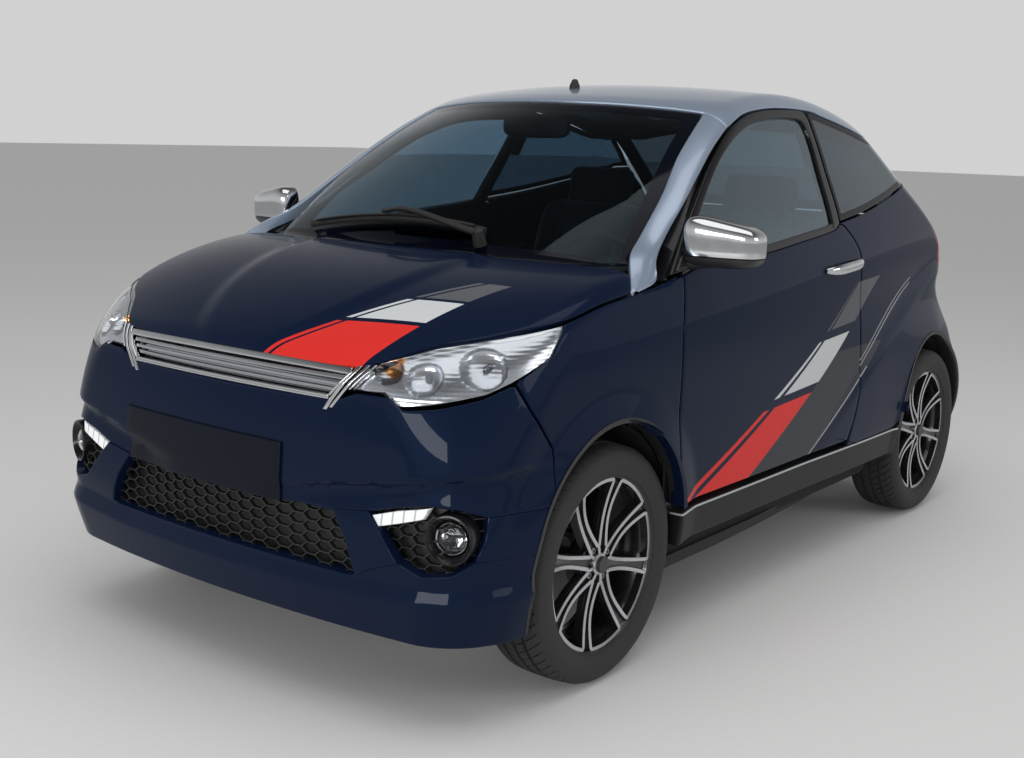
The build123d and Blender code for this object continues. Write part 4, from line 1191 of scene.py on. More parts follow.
# A black flanged band lines the edge of each wheel opening.
two_sides("arch_band", joined([arch_lip(FRONT_AXLE, 195.0, 14.5), arch_lip(REAR_AXLE, 169.2, -15.0)]),
          grille_black, "body", "black_plastic")
insert = panel("tail", on_rear, [(-0.46, 0.205), (0, 0.205), (0.46, 0.205)],
               [(-0.4, 0.3), (0, 0.3), (0.4, 0.3)], 40, 10, thick=0.01, roll=0.004, sink=-0.005)
make_piece("rear_insert", insert, grille_black, "body", "black_plastic")
back_plate = panel(
    "tail", on_rear, [(-0.26, 0.43), (0, 0.43), (0.26, 0.43)],
    [(-0.26, 0.545), (0, 0.545), (0.26, 0.545)], 24, 8, thick=0.008, roll=0.003, sink=-0.005)
make_piece("rear_plate_field", back_plate, plate_finish, "body", "black_plastic")
mark = panel("tail", on_rear, [(0.5, 0.335), (0.61, 0.335)], [(0.5, 0.365), (0.61, 0.365)], 10, 4,
             thick=0.01, sink=-0.003)
two_sides("rear_reflector", mark, red_lens, "body", "lamp_red")

# ---------------------------------------------------------------------------------------
# Sills: black moulded strips of grained plastic, clipped along the body's foot under the
# doors, with a thin silver line of film on top.

sill_finish = Finish("sill_black", (0.01, 0.01, 0.011), 0.42, Specular_IOR_Level=0.22)
z = sill_finish.place()[2]
sill_finish.set("Base Color", sill_finish.blend(between(z, 0.3445, 0.3495), (0.01, 0.01, 0.011),
                                                (0.42, 0.44, 0.46)))
sill_finish.bump(sill_finish.noise(700.0), 0.12, 0.0006)
sill_front = on_side(arch_line(FRONT_AXLE, -4.8, 10.6, 8)) + (0, 0.002, 0)
sill_rear = on_side(arch_line(REAR_AXLE, 184.8, 169.6, 8)) - (0, 0.002, 0)
sill = patch("side", np.vstack([sill_front[:1], on_side([(0.0, 0.262)]), sill_rear[:1]]),
             np.vstack([sill_front[-1:], on_side([(0.0, 0.352)]), sill_rear[-1:]]), sill_front,
             sill_rear, 90, 10, thick=0.036, roll=0.008)
two_sides("sill", sill, sill_finish, "body", "black_plastic", ["sills"])

# ---------------------------------------------------------------------------------------
# Door mirrors: a plated cap over a black moulded housing on a black foot, with the glass
# facing backwards. Each rides on its door.


def rounded_block(centre, half, power, count=(28, 40), span=(-90, 90)):
    """A superellipsoid, cut at heights of span degrees and closed: each of its three
    directions goes as sine or cosine to a power below one, which squares it off."""
    def soft(t):
        """t to the power, with its sign kept."""
        return np.sign(t) * np.abs(t) ** power

    lat = np.radians(np.linspace(*span, count[0]))[:, None]
    lon = np.radians(np.linspace(0, 360, count[1], endpoint=False))
    grid = triples(soft(np.cos(lat)) * soft(np.cos(lon)), soft(np.cos(lat)) * soft(np.sin(lon)),
                   soft(np.sin(lat)))
    return wrapped(grid * half + centre, capped=True)


MIRROR_AT = np.array((0.784, -0.572, 1.022))
MIRROR_HALF = np.array((0.094, 0.058, 0.057))


def mirror_shape(part):
    """Leans the block's top inwards, draws its outer end lower and flattens its back."""
    verts, faces = part
    rel = (verts - MIRROR_AT) / MIRROR_HALF
    out = verts.copy()
    out[:, 2] -= MIRROR_HALF[2] * 0.32 * np.clip(rel[:, 0], -1, 1) * (rel[:, 2] > 0) * rel[:, 2]
    out[:, 1] = MIRROR_AT[1] + np.where(rel[:, 1] > 0, 0.42, 1.0) * (verts[:, 1] - MIRROR_AT[1])
    out[:, 1] += 0.018 * rel[:, 0]
    return out, faces


cap = mirror_shape(rounded_block(MIRROR_AT, MIRROR_HALF, 0.5, (20, 56), (-15, 90)))
base = mirror_shape(rounded_block(MIRROR_AT - (0, 0, 0.0035), MIRROR_HALF * (0.99, 0.99, 0.95), 0.5,
                                  (16, 56), (-90, -16)))
arm_line = np.array([(0.676, -0.596, 0.966), (0.7, -0.594, 0.972), (0.735, -0.586, 0.976),
                     (0.775, -0.58, 0.98)])


def tube(line, radii, count=16, squash=(1.0, 1.0), up=(0.0, 0.0, 1.0)):
    """A round section of varying radius carried along a line and closed at its ends."""
    line = np.asarray(line, float)
    run = np.gradient(line, axis=0)
    run /= np.linalg.norm(run, axis=1, keepdims=True)
    side = np.cross(run, up)
    side /= np.linalg.norm(side, axis=1, keepdims=True)
    rise = np.cross(side, run)
    a = np.linspace(0, 2 * np.pi, count, endpoint=False)
    radii = np.broadcast_to(radii, len(line))
    ring = (side[:, None] * np.cos(a)[:, None] * squash[0]
            + rise[:, None] * np.sin(a)[:, None] * squash[1]) * radii[:, None, None]
    return wrapped(line[:, None] + ring, capped=True)


arm = tube(smooth_line(arm_line, 5), np.linspace(0.026, 0.019, 16), 18, (1.25, 0.75))
foot = ribbon("side", on_side([(-0.668, 0.955), (-0.6, 0.962), (-0.545, 0.964)]),
              on_side([(-0.64, 0.985), (-0.59, 1.01), (-0.548, 1.02)]), 6, thick=0.012, sink=-0.006,
              roll=0.005)
housing_black = Finish("mirror_black", (0.018, 0.018, 0.02), 0.34)
housing_black.bump(housing_black.noise(900.0), 0.18, 0.0005)
glass_face = lathe([(0.0, 0.0), (0.0, 0.03), (0.0, 0.047), (-0.004, 0.05)],
                   MIRROR_AT + (0, 0.0235, -0.002), (0, 1, 0), 40)
mirror_silver = bare((0.8, 0.82, 0.84), 0.02, 1.0, "mirror_silver", spread=0.02)
mirror_parts = (("mirror_cap", cap, plated, "bright_trim", ["mirror_{}"]),
                ("mirror_base", joined([base, arm, foot]), housing_black, "black_plastic", []),
                ("mirror_glass", glass_face, mirror_silver, "bright_trim", []))
for name, part, finish, slot, nodes in mirror_parts:
    two_sides(name, part, finish, "door_{}", slot, nodes)

# ---------------------------------------------------------------------------------------
# Door handles: plated pull grips, moulded in one piece and screwed on from inside, each
# standing off its door's skin on two feet.

GRIP_MIDDLE, GRIP_HALF = 0.276, 0.126
grip_y = np.linspace(0.15, 0.402, 26)
side_at = on_side(np.stack([grip_y, 0.905 + 0.055 * (grip_y - 0.15)], 1))
lift = 0.026 * np.clip(1 - np.abs((grip_y - GRIP_MIDDLE) / GRIP_HALF) ** 4, 0, 1)
fullness = 0.004 + 0.0085 * np.clip(1 - np.abs((grip_y - GRIP_MIDDLE) / 0.13) ** 5, 0, 1)
grip = tube(side_at + (lift + 0.002)[:, None] * (1, 0, 0), fullness, 16, (0.72, 1.25))
two_sides("door_grip", grip, plated, "door_{}", "bright_trim", ["handle_{}"])

# ---------------------------------------------------------------------------------------
# Wiper and antenna: one long black arm and blade over the screen, pivoted at its foot, and
# a short black rod base on the roof.

blade_x = np.linspace(-0.375, 0.245, 40)
screen_at = on_top(np.stack([blade_x, -0.824 + 0.02 * (blade_x + 0.06) ** 2], 1), 0.7)
across = np.array((0.0, -0.6, 0.8))
rubber = tube(screen_at + across * 0.01, 0.0075, 10, (0.6, 1.3))
spine = tube(screen_at[2:-2] + across * 0.02, 0.006, 10, (1.3, 0.7))
pivot = np.array((0.25, -0.868, 1.012))
arm_points = np.vstack([pivot + (0, 0, 0.012), pivot + (-0.06, 0.006, 0.022),
                        screen_at[24] + across * 0.04, screen_at[18] + across * 0.032])
arm = tube(smooth_line(arm_points, 8), np.linspace(0.012, 0.007, 25), 12, (1.3, 0.8))
hub = lathe([(0.0, 0.0), (0.0, 0.01), (-0.004, 0.015), (-0.03, 0.017), (-0.044, 0.017), (-0.044, 0.0)],
            pivot + (0, 0, 0.022), (0, -0.3, 0.95), 28)
rubber_black = Finish("rubber_black", (0.012, 0.012, 0.012), 0.55)
rubber_black.set("Roughness", 0.42 + 0.25 * rubber_black.noise(60.0))
make_piece("wiper_arm", joined([rubber, spine, arm, hub]), rubber_black, "body", "black_plastic",
           ["wiper"])
mast = lathe([(0.019, 0.0), (0.019, 0.005), (0.015, 0.009), (0.007, 0.012), (0.002, 0.015),
              (-0.01, 0.016), (-0.01, 0.0)], (0, -0.116, 1.4135), (0, 0, 1), 28)
make_piece("antenna_base", mast, rubber_black, "body", "black_plastic", ["antenna"])

# ---------------------------------------------------------------------------------------
# Tyres: low-profile radials in dull black rubber, with three grooves round the tread,
# slanted cuts across its ribs, a rounded shoulder and a thin ridge that guards the rim.

TRACK = 0.64                              # from the middle plane to a wheel's middle
TREAD_HALF = 0.066
GROOVES = np.array([(-0.032, 0.0042), (0.0, 0.0042), (0.032, 0.0042)])    # centre, half width
CUT_PITCHES = 66


def tread_radius(across):
    """Radius of the tread, slightly lower towards its shoulders."""
    return WHEEL_HEIGHT - 0.9 * across ** 2


def tyre_section():
    """The tyre's outline from bead to bead: (distance across, radius, depth of a cut there).
    Grooves are steps in the tread; the inside follows 9 mm below."""
    side_wall = np.array([
        (0.066, 0.2055), (0.07, 0.2085), (0.074, 0.2115), (0.077, 0.214), (0.0768, 0.2165),
        (0.081, 0.225), (0.085, 0.238), (0.0855, 0.25), (0.083, 0.261), (0.0785, 0.27),
        (0.0725, 0.2765), (0.067, 0.28)])
    edges = [-0.06, -0.05]
    for centre, half in GROOVES:
        edges += [centre - half - 0.0006, centre - half + 0.0006, centre, centre + half - 0.0006,
                  centre + half + 0.0006]
        edges += [centre + 0.012, centre + 0.02]
    across = np.array(edges[:-2] + [0.05, 0.06])
    in_groove = (np.abs(across[:, None] - GROOVES[:, 0]) < GROOVES[:, 1]).any(1)
    tread = np.stack([across, tread_radius(across) - 0.0065 * in_groove, 0.0045 * ~in_groove], 1)
    wall = np.insert(side_wall, 2, 0, axis=1)
    wall[-2:, 2] = 0.004
    inner = np.array([(-0.06, 0.212, 0), (-0.072, 0.24, 0), (-0.062, 0.268, 0), (0.0, 0.274, 0),
                      (0.062, 0.268, 0), (0.072, 0.24, 0), (0.06, 0.212, 0)])
    return np.vstack([wall * (-1, 1, 1), tread, wall[::-1], inner[::-1]])


def tyre():
    """The section turned about the axle. Each pitch has six spokes of the grid, of which two
    lie in a cut; the grid leans round with distance from the middle, so the cuts slant."""
    section = tyre_section()
    spots = np.array([0.0, 0.025, 0.105, 0.13, 0.42, 0.71])
    pitch = (np.arange(CUT_PITCHES)[:, None] + spots).ravel() / CUT_PITCHES * 2 * np.pi
    cut = np.tile([0, 1, 1, 0, 0, 0], CUT_PITCHES)
    lean = 0.16 * np.clip(np.abs(section[:, 0]) / TREAD_HALF, 0, 1.15) ** 1.2
    angle = pitch[None] + lean[:, None] * (section[:, 1:2] > 0.2745)
    radius = section[:, 1:2] - section[:, 2:3] * cut[None]
    return wrapped(triples(section[:, :1], radius * np.sin(angle), radius * np.cos(angle)), looped=True)


def on_wheels(name, part, finish, slot, node="", sharp=28):
    """One copy of a part, made about the axle of a left wheel, for each wheel. node is the
    name pattern of the solids that it replaces."""
    verts, faces = part
    for end, axle in (("front", FRONT_AXLE), ("rear", REAR_AXLE)):
        for side, turn in (("left", 1), ("right", -1)):
            placed = (verts + (TRACK, 0, WHEEL_HEIGHT)) * (turn, 1, 1) + (0, axle, 0)
            make_piece(f"{name}_{end}_{side}", (placed, faces[:, ::turn]), finish,
                       f"wheel_{end}_{side}", slot, [node.format(end, side)] if node else (),
                       sharp=sharp)


tyre_rubber = Finish("tyre_rubber", (0.022, 0.022, 0.023), 0.72)
dust = tyre_rubber.noise(34.0, 4.0)
tyre_rubber.set("Base Color", tyre_rubber.blend(dust, (0.014, 0.014, 0.015), (0.034, 0.033, 0.032)))
tyre_rubber.set("Roughness", 0.6 + 0.28 * dust)
tyre_rubber.bump(tyre_rubber.noise(420.0, 3.0), 0.25, 0.0006)
on_wheels("tyre", tyre(), tyre_rubber, "tyre", "tyre_{}_{}", sharp=40)

# ---------------------------------------------------------------------------------------
# Wheels: cast alloy in gloss black with a machined face. Eight windows with rounded corners,
# each framed by a bright band; between two frames runs a black channel, from the bolts out
# through the rim's edge.

WINDOWS = 8
BOLTS = 4
LEAN = 0.14                                # how far the windows are turned from upright
BAND = 0.0094                              # width of the bright bands
FRAME_OUT = 0.2025                         # radius of a frame's arc
HUB_FACE, RIM_FACE = 0.058, 0.0665         # how far the faces stand out from the wheel's middle


def face_at(radius):
    """How far out the machined face stands: dished between rim and hub."""
    t = np.clip((radius - 0.04) / (FRAME_OUT - 0.04), 0, 1)
    return HUB_FACE + (RIM_FACE - HUB_FACE) * t - 0.011 * np.sin(np.pi * t)


def frame_line():
    """One window's frame as plane points: from its foot near the hub, out along one side,
    round the rim's arc and back."""
    half = np.pi / WINDOWS
    t = np.linspace(0, 1, 15)[:, None]
    corner = FRAME_OUT * np.array((np.sin(half - 0.079), np.cos(half - 0.079)))
    foot = np.array((0.0035, 0.046))
    bow = 0.0045 * np.sin(np.pi * t) * np.array((0.93, -0.36))
    side = foot + (corner - foot) * (t * 0.965) + bow
    a = np.linspace(half - 0.095, 0, 10)
    arc = FRAME_OUT * np.stack([np.sin(a), np.cos(a)], 1)
    half_line = np.vstack([side, arc])
    return np.vstack([half_line, half_line[-2::-1] * (-1, 1)])


def beam(line, widths, tops, depths, bevel):
    """A bar with bevelled upper edges carried along a plane line, closed at both ends.
    tops gives how far out its face stands, depths how far back it goes."""
    run = np.gradient(line, axis=0)
    run /= np.linalg.norm(run, axis=1, keepdims=True)
    side = np.stack([run[:, 1], -run[:, 0]], 1)
    w, top, depth = (np.broadcast_to(v, len(line)) for v in (widths, tops, depths))
    half = w / 2
    offset = np.stack([-half, -half, -half + bevel, half - bevel, half, half, 0 * half], 1)
    height = np.stack([top - depth, top - bevel, top, top, top - bevel, top - depth, top - depth], 1)
    flat = line[:, None] + side[:, None] * offset[..., None]
    return wrapped(np.concatenate([height[..., None], flat], -1), capped=True)


def turned(part, count, start=0.0):
    """Copies of a part, evenly turned about the axle."""
    verts, faces = part
    copies = []
    for angle in start + np.arange(count) * 2 * np.pi / count:
        c, s = np.cos(angle), np.sin(angle)
        copies.append((verts @ np.array([(1, 0, 0), (0, c, s), (0, -s, c)]), faces))
    return joined(copies)


frame_run = frame_line()
frame_top = face_at(np.hypot(*frame_run.T))
bands = beam(frame_run, BAND, frame_top, 0.0022, 0.0007)
frames = beam(frame_run, BAND + 0.0008, frame_top - 0.0012, 0.024, 0.0006)
web_r = np.linspace(0.03, 0.207, 16)
web_line = np.stack([0 * web_r, web_r], 1)
web = beam(web_line, np.interp(web_r, (0.03, 0.05, 0.2), (0.02, 0.036, 0.027)), face_at(web_r) - 0.0085,
           0.016, 0.001)
foot_line = np.array([(0, 0.02), (0, 0.034), (0, 0.05)])
foot = beam(foot_line, 0.01, face_at(np.array([0.02, 0.034, 0.05])) + 0.0002, 0.02, 0.001)
bright_foot = beam(foot_line, 0.0084, face_at(np.array([0.02, 0.034, 0.05])) + 0.0008, 0.0022, 0.0007)
hub_ring = lathe([(0.0, 0.06), (0.044, 0.06), (0.046, 0.056), (0.046, 0.0)], (0, 0, 0), (1, 0, 0), 64)
bare_cap = lathe([
    (0.046, 0.0265), (HUB_FACE - 0.001, 0.0265), (HUB_FACE + 0.002, 0.0235), (HUB_FACE + 0.0032, 0.018),
    (HUB_FACE + 0.0036, 0.009), (HUB_FACE + 0.0037, 0.0)], (0, 0, 0), (1, 0, 0), 64)
bolt = lathe([(0.04, 0.0085), (0.052, 0.0085), (0.0538, 0.007), (0.0538, 0.0042), (0.05, 0.0042),
              (0.05, 0.0)], (0, 0, 0.041), (1, 0, 0), 12)
barrel = lathe([
    (0.0655, 0.206), (0.069, 0.2075), (0.0715, 0.21), (0.0735, 0.2125), (0.0732, 0.2155),
    (0.0705, 0.217), (0.0665, 0.2155), (0.0655, 0.2065), (0.05, 0.206), (0.03, 0.196), (-0.04, 0.195),
    (-0.062, 0.2055), (-0.07, 0.206), (-0.0735, 0.21), (-0.072, 0.205), (-0.062, 0.201), (-0.04, 0.19),
    (0.03, 0.1905), (0.047, 0.1985), (0.06, 0.2035), (0.0655, 0.206)], (0, 0, 0), (1, 0, 0), 128)

rim_black = Finish("rim_black", (0.01, 0.01, 0.012), 0.22, 0.0, Coat_Weight=0.6, Coat_Roughness=0.05)
rim_black.set("Roughness", 0.18 + 0.16 * rim_black.noise(55.0, 3.0))
rim_black.set("Base Color", rim_black.blend(rim_black.noise(22.0, 3.0), (0.007, 0.007, 0.008),
                                            (0.017, 0.017, 0.019)))
machined = Finish("machined_alloy", (0.56, 0.57, 0.59), 0.3, 0.9)
_, y, z = machined.place()
from_axle = [machined.math("SQRT", (y - axle) * (y - axle) + (z - WHEEL_HEIGHT) * (z - WHEEL_HEIGHT))
             for axle in (FRONT_AXLE, REAR_AXLE)]
radius = machined.math("MINIMUM", *from_axle)
lathe_marks = machined.math("SINE", radius * 5200.0)
machined.set("Roughness", 0.28 + 0.05 * lathe_marks + 0.1 * machined.noise(40.0))
machined.bump(lathe_marks, 0.08, 0.0003)
casting = joined([turned(frames, WINDOWS, LEAN), turned(web, WINDOWS, LEAN + np.pi / WINDOWS),
                  turned(foot, WINDOWS, LEAN), hub_ring, barrel])
on_wheels("rim_casting", casting, rim_black, "wheel_alloy", "rim_{}_{}")
rim_face = joined([turned(bands, WINDOWS, LEAN), turned(bright_foot, WINDOWS, LEAN), bare_cap])
on_wheels("rim_face", rim_face, machined, "wheel_alloy")
bolt_steel = bare((0.3, 0.3, 0.31), 0.35, 0.9, "bolt_steel")
on_wheels("wheel_bolts", turned(bolt, BOLTS, LEAN + np.pi / WINDOWS), bolt_steel, "chassis_metal")

# ---------------------------------------------------------------------------------------
# Seats: two foam pads on a moulded shell each, in dark grey woven cloth, with a sewn centre
# panel, bolsters at the sides and a headrest that is one with the back.

SEAT_X = 0.31


def pad(half_wide, length, low, high, panel, swell):
    """Both faces of a crowned pad: a plan outline with rounded corners, blown up between its
    seams. u runs across and v along; the top rises as a rounded crown both ways, the side
    bolsters stand higher than the panel, and seams press a narrow groove into the top."""
    u, v = np.linspace(-1, 1, 61)[:, None], np.linspace(-1, 1, 65)[None, :]
    across, ahead = np.abs(u), np.abs(v)
    in_panel = across < panel
    corner = 1 - 0.1 * across ** 6 * ahead ** 6
    x, y = half_wide * u * corner, length / 2 * v * corner
    crown = (1 - across ** 5) ** 0.5 * (1 - ahead ** 6) ** 0.5
    bolster = np.exp(-((across - 0.8) / 0.15) ** 2)
    seams = (np.exp(-((across - panel) / 0.022) ** 2)
             + 0.6 * np.exp(-(np.abs(v + 0.1) / 0.016) ** 2) * in_panel)
    soft = np.cos(np.pi * u / panel / 2) ** 2 * in_panel * (1 - v ** 4)
    rise = low + (high - low) * crown * (0.62 + 0.38 * bolster) + swell * soft - 0.007 * seams * crown
    fall = -(1 - across ** 6) ** 0.5 * (1 - ahead ** 6) ** 0.5 * low * 0.4
    return triples(x, y, rise), triples(x, y, fall)


def laid(grid, origin, forward, up):
    """Pad points placed with its length along forward and its thickness along up."""
    forward, up = (np.array(a, float) / np.linalg.norm(a) for a in (forward, up))
    return np.array(origin) + grid[..., :1] * (1, 0, 0) + grid[..., 1:2] * forward + grid[..., 2:] * up


def cushion(sizes, origin, forward, up):
    """A pad of the given sizes as one closed shape in its place in the car."""
    return closed_sheet(*(laid(face, origin, forward, up) for face in pad(*sizes)))


cloth = Finish("seat_cloth", (0.03, 0.031, 0.034), 0.88, 0.0, Sheen_Weight=0.35, Sheen_Roughness=0.5)
x, y, z = cloth.place()
warp = cloth.math("SINE", x * 2400.0)
weft = cloth.math("SINE", (y + z) * 2400.0)
weave = warp * weft
worn = cloth.noise(14.0, 3.0)
cloth.set("Base Color", cloth.blend(0.5 + 0.5 * weave, (0.02, 0.021, 0.024), (0.046, 0.048, 0.054)))
cloth.set("Roughness", 0.8 + 0.15 * worn)
cloth.bump(0.6 * weave + 0.5 * worn, 0.35, 0.0012)
for side, turn in (("left", 1), ("right", -1)):
    middle = turn * SEAT_X
    base = cushion((0.225, 0.475, 0.022, 0.105, 0.56, 0.02), (middle, 0.055, 0.33), (0, 1, -0.06),
                   (0, 0.06, 1))
    back = cushion((0.22, 0.61, 0.018, 0.085, 0.55, 0.018), (middle, 0.415, 0.745), (0, 0.285, 0.958),
                   (0, -0.958, 0.285))
    head = cushion((0.125, 0.15, 0.02, 0.06, 0.9, 0.004), (middle, 0.522, 1.082), (0, 0.17, 0.985),
                   (0, -0.985, 0.17))
    for name, part in (("seat_base", base), ("seat_back", back), ("headrest", head)):
        piece = make_piece(f"{name}_{side}", part, cloth, "body", "seat_cloth", ["seats"], weld=0.0004,
                           sharp=75)
shell_plastic = Finish("trim_plastic", (0.02, 0.02, 0.022), 0.55)
shell_plastic.set("Roughness", 0.46 + 0.18 * shell_plastic.noise(25.0))
shell_plastic.bump(shell_plastic.noise(700.0, 3.0), 0.3, 0.0006)


def block(low, high, power=0.18):
    """A box with well rounded edges, filling the space between two corners."""
    low, high = np.array(low, float), np.array(high, float)
    return rounded_block((low + high) / 2, (high - low) / 2, power, (22, 40))


for side, turn in (("left", 1), ("right", -1)):
    middle = turn * SEAT_X
    tray = block((middle - 0.205, -0.15, 0.216), (middle + 0.205, 0.27, 0.325))
    posts = [tube([(middle + off, 0.5, 0.985), (middle + off, 0.52, 1.06)], 0.006, 12, up=(0, 1, 0))
             for off in (-0.06, 0.06)]
    back_line = [(middle, 0.325, 0.4), (middle, 0.4, 0.46), (middle, 0.47, 0.7), (middle, 0.54, 0.98)]
    spine = tube(smooth_line(back_line, 6), 0.02, 20, (9.5, 0.75), up=(0, 1, 0))
    make_piece(f"seat_shell_{side}", joined([tray, *posts, spine]), shell_plastic, "body",
               "black_plastic")

# ---------------------------------------------------------------------------------------
# Dashboard: one moulding with a rolled front edge, a raised hood over the instruments, two
# pairs of round vents, a small screen and a shelf on the passenger's side.

dash_y = np.array([-0.665, -0.64, -0.6, -0.54, -0.49, -0.45, -0.428, -0.424, -0.43, -0.445, -0.47,
                   -0.5])
dash_z = np.array([0.88, 0.889, 0.892, 0.888, 0.878, 0.862, 0.838, 0.8, 0.77, 0.74, 0.7, 0.64])
dash_x = np.linspace(-0.635, 0.635, 90)
wide, level = dash_x[:, None], dash_z[None]
hooded = 0.014 * np.exp(-((wide - SEAT_X) / 0.17) ** 4) * ridge(np.arange(12) - 5.0, 2.2)[None]
face = triples(wide, dash_y[None] + 0.012 * (wide / 0.635) ** 4 * (level < 0.85), level + hooded * 0.3)
inside = triples(wide * 0.985, -0.665, np.linspace(0.862, 0.64, 12)[None])
make_piece("dashboard", closed_sheet(face, inside), shell_plastic, "body", "black_plastic",
           ["dashboard"], weld=0.0005)
VENTS_X = (-0.585, -0.075, 0.075, 0.585)
VENT_RING = [(-0.02, 0.0), (-0.02, 0.036), (0.004, 0.04), (0.006, 0.036), (0.0, 0.031), (-0.008, 0.03),
             (-0.008, 0.0)]
vents = [lathe(VENT_RING, (x, -0.424, 0.815), (0, 1, 0.12), 40) for x in VENTS_X]
slats = [bars(np.array([(x - 0.03, -0.418, 0.815 + drop)]),
              np.array([(x + 0.03, -0.418, 0.815 + drop)]), np.array([(0, 1.0, 0)]), 0.004, 0.01)
         for x in VENTS_X for drop in (-0.012, 0.0, 0.012)]
make_piece("dash_vents", joined(vents + slats), shell_plastic, "body", "black_plastic")
DIAL_RING = [(-0.01, 0.0), (-0.01, 0.042), (0.002, 0.044), (0.004, 0.041), (-0.003, 0.039),
             (-0.003, 0.0)]
dials = [lathe(DIAL_RING, (SEAT_X + off, -0.432, 0.858), (0, 0.95, 0.3), 48) for off in (-0.05, 0.05)]
make_piece("instrument_rings", joined(dials), plated, "body", "bright_trim")
screen_glass = bare((0.01, 0.012, 0.016), 0.1, 0.0, "screen_glass", spread=0.03)
make_piece("dash_screen", block((-0.062, -0.432, 0.705), (0.062, -0.419, 0.78), 0.12), screen_glass,
           "body", "black_plastic")

# ---------------------------------------------------------------------------------------
# Steering wheel: a steel core in soft grained foam, a round ring on two flat spokes about a
# padded hub. It turns with the end of its column.

WHEEL_AT = np.array((0.31, -0.33, 0.85))
WHEEL_NORMAL = np.array((0.0, 0.88, 0.47)) / np.hypot(0.88, 0.47)


def wheel_plane(across, up, out):
    """Points in the steering wheel's plane, with out along its axis towards the driver."""
    rise = np.cross(WHEEL_NORMAL, (1.0, 0.0, 0.0))
    rise = rise * np.sign(rise[2])
    across, up, out = (np.asarray(part)[..., None] for part in (across, up, out))
    return WHEEL_AT + across * (1, 0, 0) + up * rise + out * WHEEL_NORMAL


RING_RADIUS = 0.172
a, b = (np.linspace(0, 2 * np.pi, n + 1)[:-1] for n in (96, 20))
fat = 0.0122 + 0.0012 * np.cos(2 * (a - np.pi / 4)) ** 8
ring_out = RING_RADIUS + fat[:, None] * np.cos(b)
ring = wrapped(wheel_plane(ring_out * np.cos(a)[:, None], ring_out * np.sin(a)[:, None],
                           fat[:, None] * np.sin(b) * 1.05), looped=True)
spokes = [tube(wheel_plane(side * np.array((0.03, 0.09, 0.165)), (0.004, 0.008, 0.012),
                           (0.006, -0.002, 0.0)), (0.015, 0.012, 0.01), 16, (2.2, 0.7), up=WHEEL_NORMAL)
          for side in (1, -1)]
hub_pad = lathe([(-0.02, 0.0), (-0.02, 0.04), (0.004, 0.052), (0.014, 0.048), (0.019, 0.036),
                 (0.022, 0.018), (0.0225, 0.0)], WHEEL_AT, WHEEL_NORMAL, 48)
column = lathe([(0.0, 0.0), (0.0, 0.024), (-0.045, 0.02), (-0.08, 0.017), (-0.08, 0.0)], WHEEL_AT,
               WHEEL_NORMAL, 24)
grained = Finish("wheel_grain", (0.024, 0.024, 0.026), 0.6)
grained.set("Roughness", 0.5 + 0.2 * grained.noise(30.0))
grained.bump(grained.noise(900.0, 3.0), 0.5, 0.0006)
make_piece("steering_ring", joined([ring, hub_pad, column, *spokes]), grained,
           "steering_wheel", "black_plastic", ["steering_wheel"])

# ---------------------------------------------------------------------------------------
# Rear-view mirror: a black moulded shell on a short stalk, bonded to the top of the
# windscreen.

mirror_shell = rounded_block((0.0, -0.3, 1.29), (0.115, 0.02, 0.034), 0.5, (20, 40))
stalk = tube([(0, -0.3, 1.312), (0, -0.325, 1.338), (0, -0.34, 1.352)], 0.008, 12)
make_piece("inside_mirror", joined([mirror_shell, stalk]), shell_plastic, "body", "black_plastic")

# ---------------------------------------------------------------------------------------
# Wheelhouses: thin pressed liners of black felted plastic over each wheel, open below and
# closed towards the middle of the car.


def wheelhouse(axle, radius, x_in, x_out):
    """A half tunnel about the axle line: radius and angle on one parameter, x on the other,
    with its inner end closed by a wall of the same outline. Two matching skins 4 mm apart."""
    turn = np.radians(np.linspace(-8, 188, 45))[:, None]
    x = np.concatenate([np.linspace(x_in, x_in, 8), np.linspace(x_in, x_out, 8)])[None]
    shrink = np.concatenate([np.linspace(0.2, 0.985, 7), np.full(9, 1.0)])[None]

    def skin_at(r):
        """The tunnel's points at a radius."""
        return triples(x + 0 * turn, axle + r * shrink * np.cos(turn),
                       WHEEL_HEIGHT + r * shrink * np.sin(turn))

    return closed_sheet(skin_at(radius), skin_at(radius - 0.004) + (0.004, 0, 0))


felt = Finish("liner_felt", (0.01, 0.01, 0.01), 0.95)
felt.set("Base Color", felt.blend(felt.noise(60.0, 4.0), (0.007, 0.007, 0.007), (0.016, 0.015, 0.015)))
felt.bump(felt.noise(500.0, 3.0), 0.4, 0.001)
for end, axle in (("front", FRONT_AXLE), ("rear", REAR_AXLE)):
    part = wheelhouse(axle, 0.334, 0.4, 0.676)
    for side, shape in (("left", part), ("right", flipped(part))):
        make_piece(f"wheelhouse_{end}_{side}", shape, felt, "body", "black_plastic", weld=0.0003)

# Beams behind the sills, folded from sheet, close the body's lower edge between the wheels.
sill_beam = rounded_block((0.628, 0.066, 0.268), (0.034, 0.64, 0.07), 0.12)
two_sides("sill_beam", sill_beam, felt, "body", "chassis_metal")

# ---------------------------------------------------------------------------------------
# Underneath: the folded floor, engine block, subframes, dampers and hubs keep their solid
# shapes. Painted steel, cast metal and undercoat each get their own finish.


def painted(name, dark, light, roughness, metallic, scale):
    """A coarse finish that wanders between two colours, with a slight grain."""
    finish = Finish(name, dark, roughness, metallic)
    patchy = finish.noise(scale, 4.0)
    finish.set("Base Color", finish.blend(patchy, dark, light))
    finish.set("Roughness", roughness - 0.12 + 0.24 * patchy)
    finish.bump(finish.noise(260.0, 3.0), 0.35, 0.0008)
    return finish


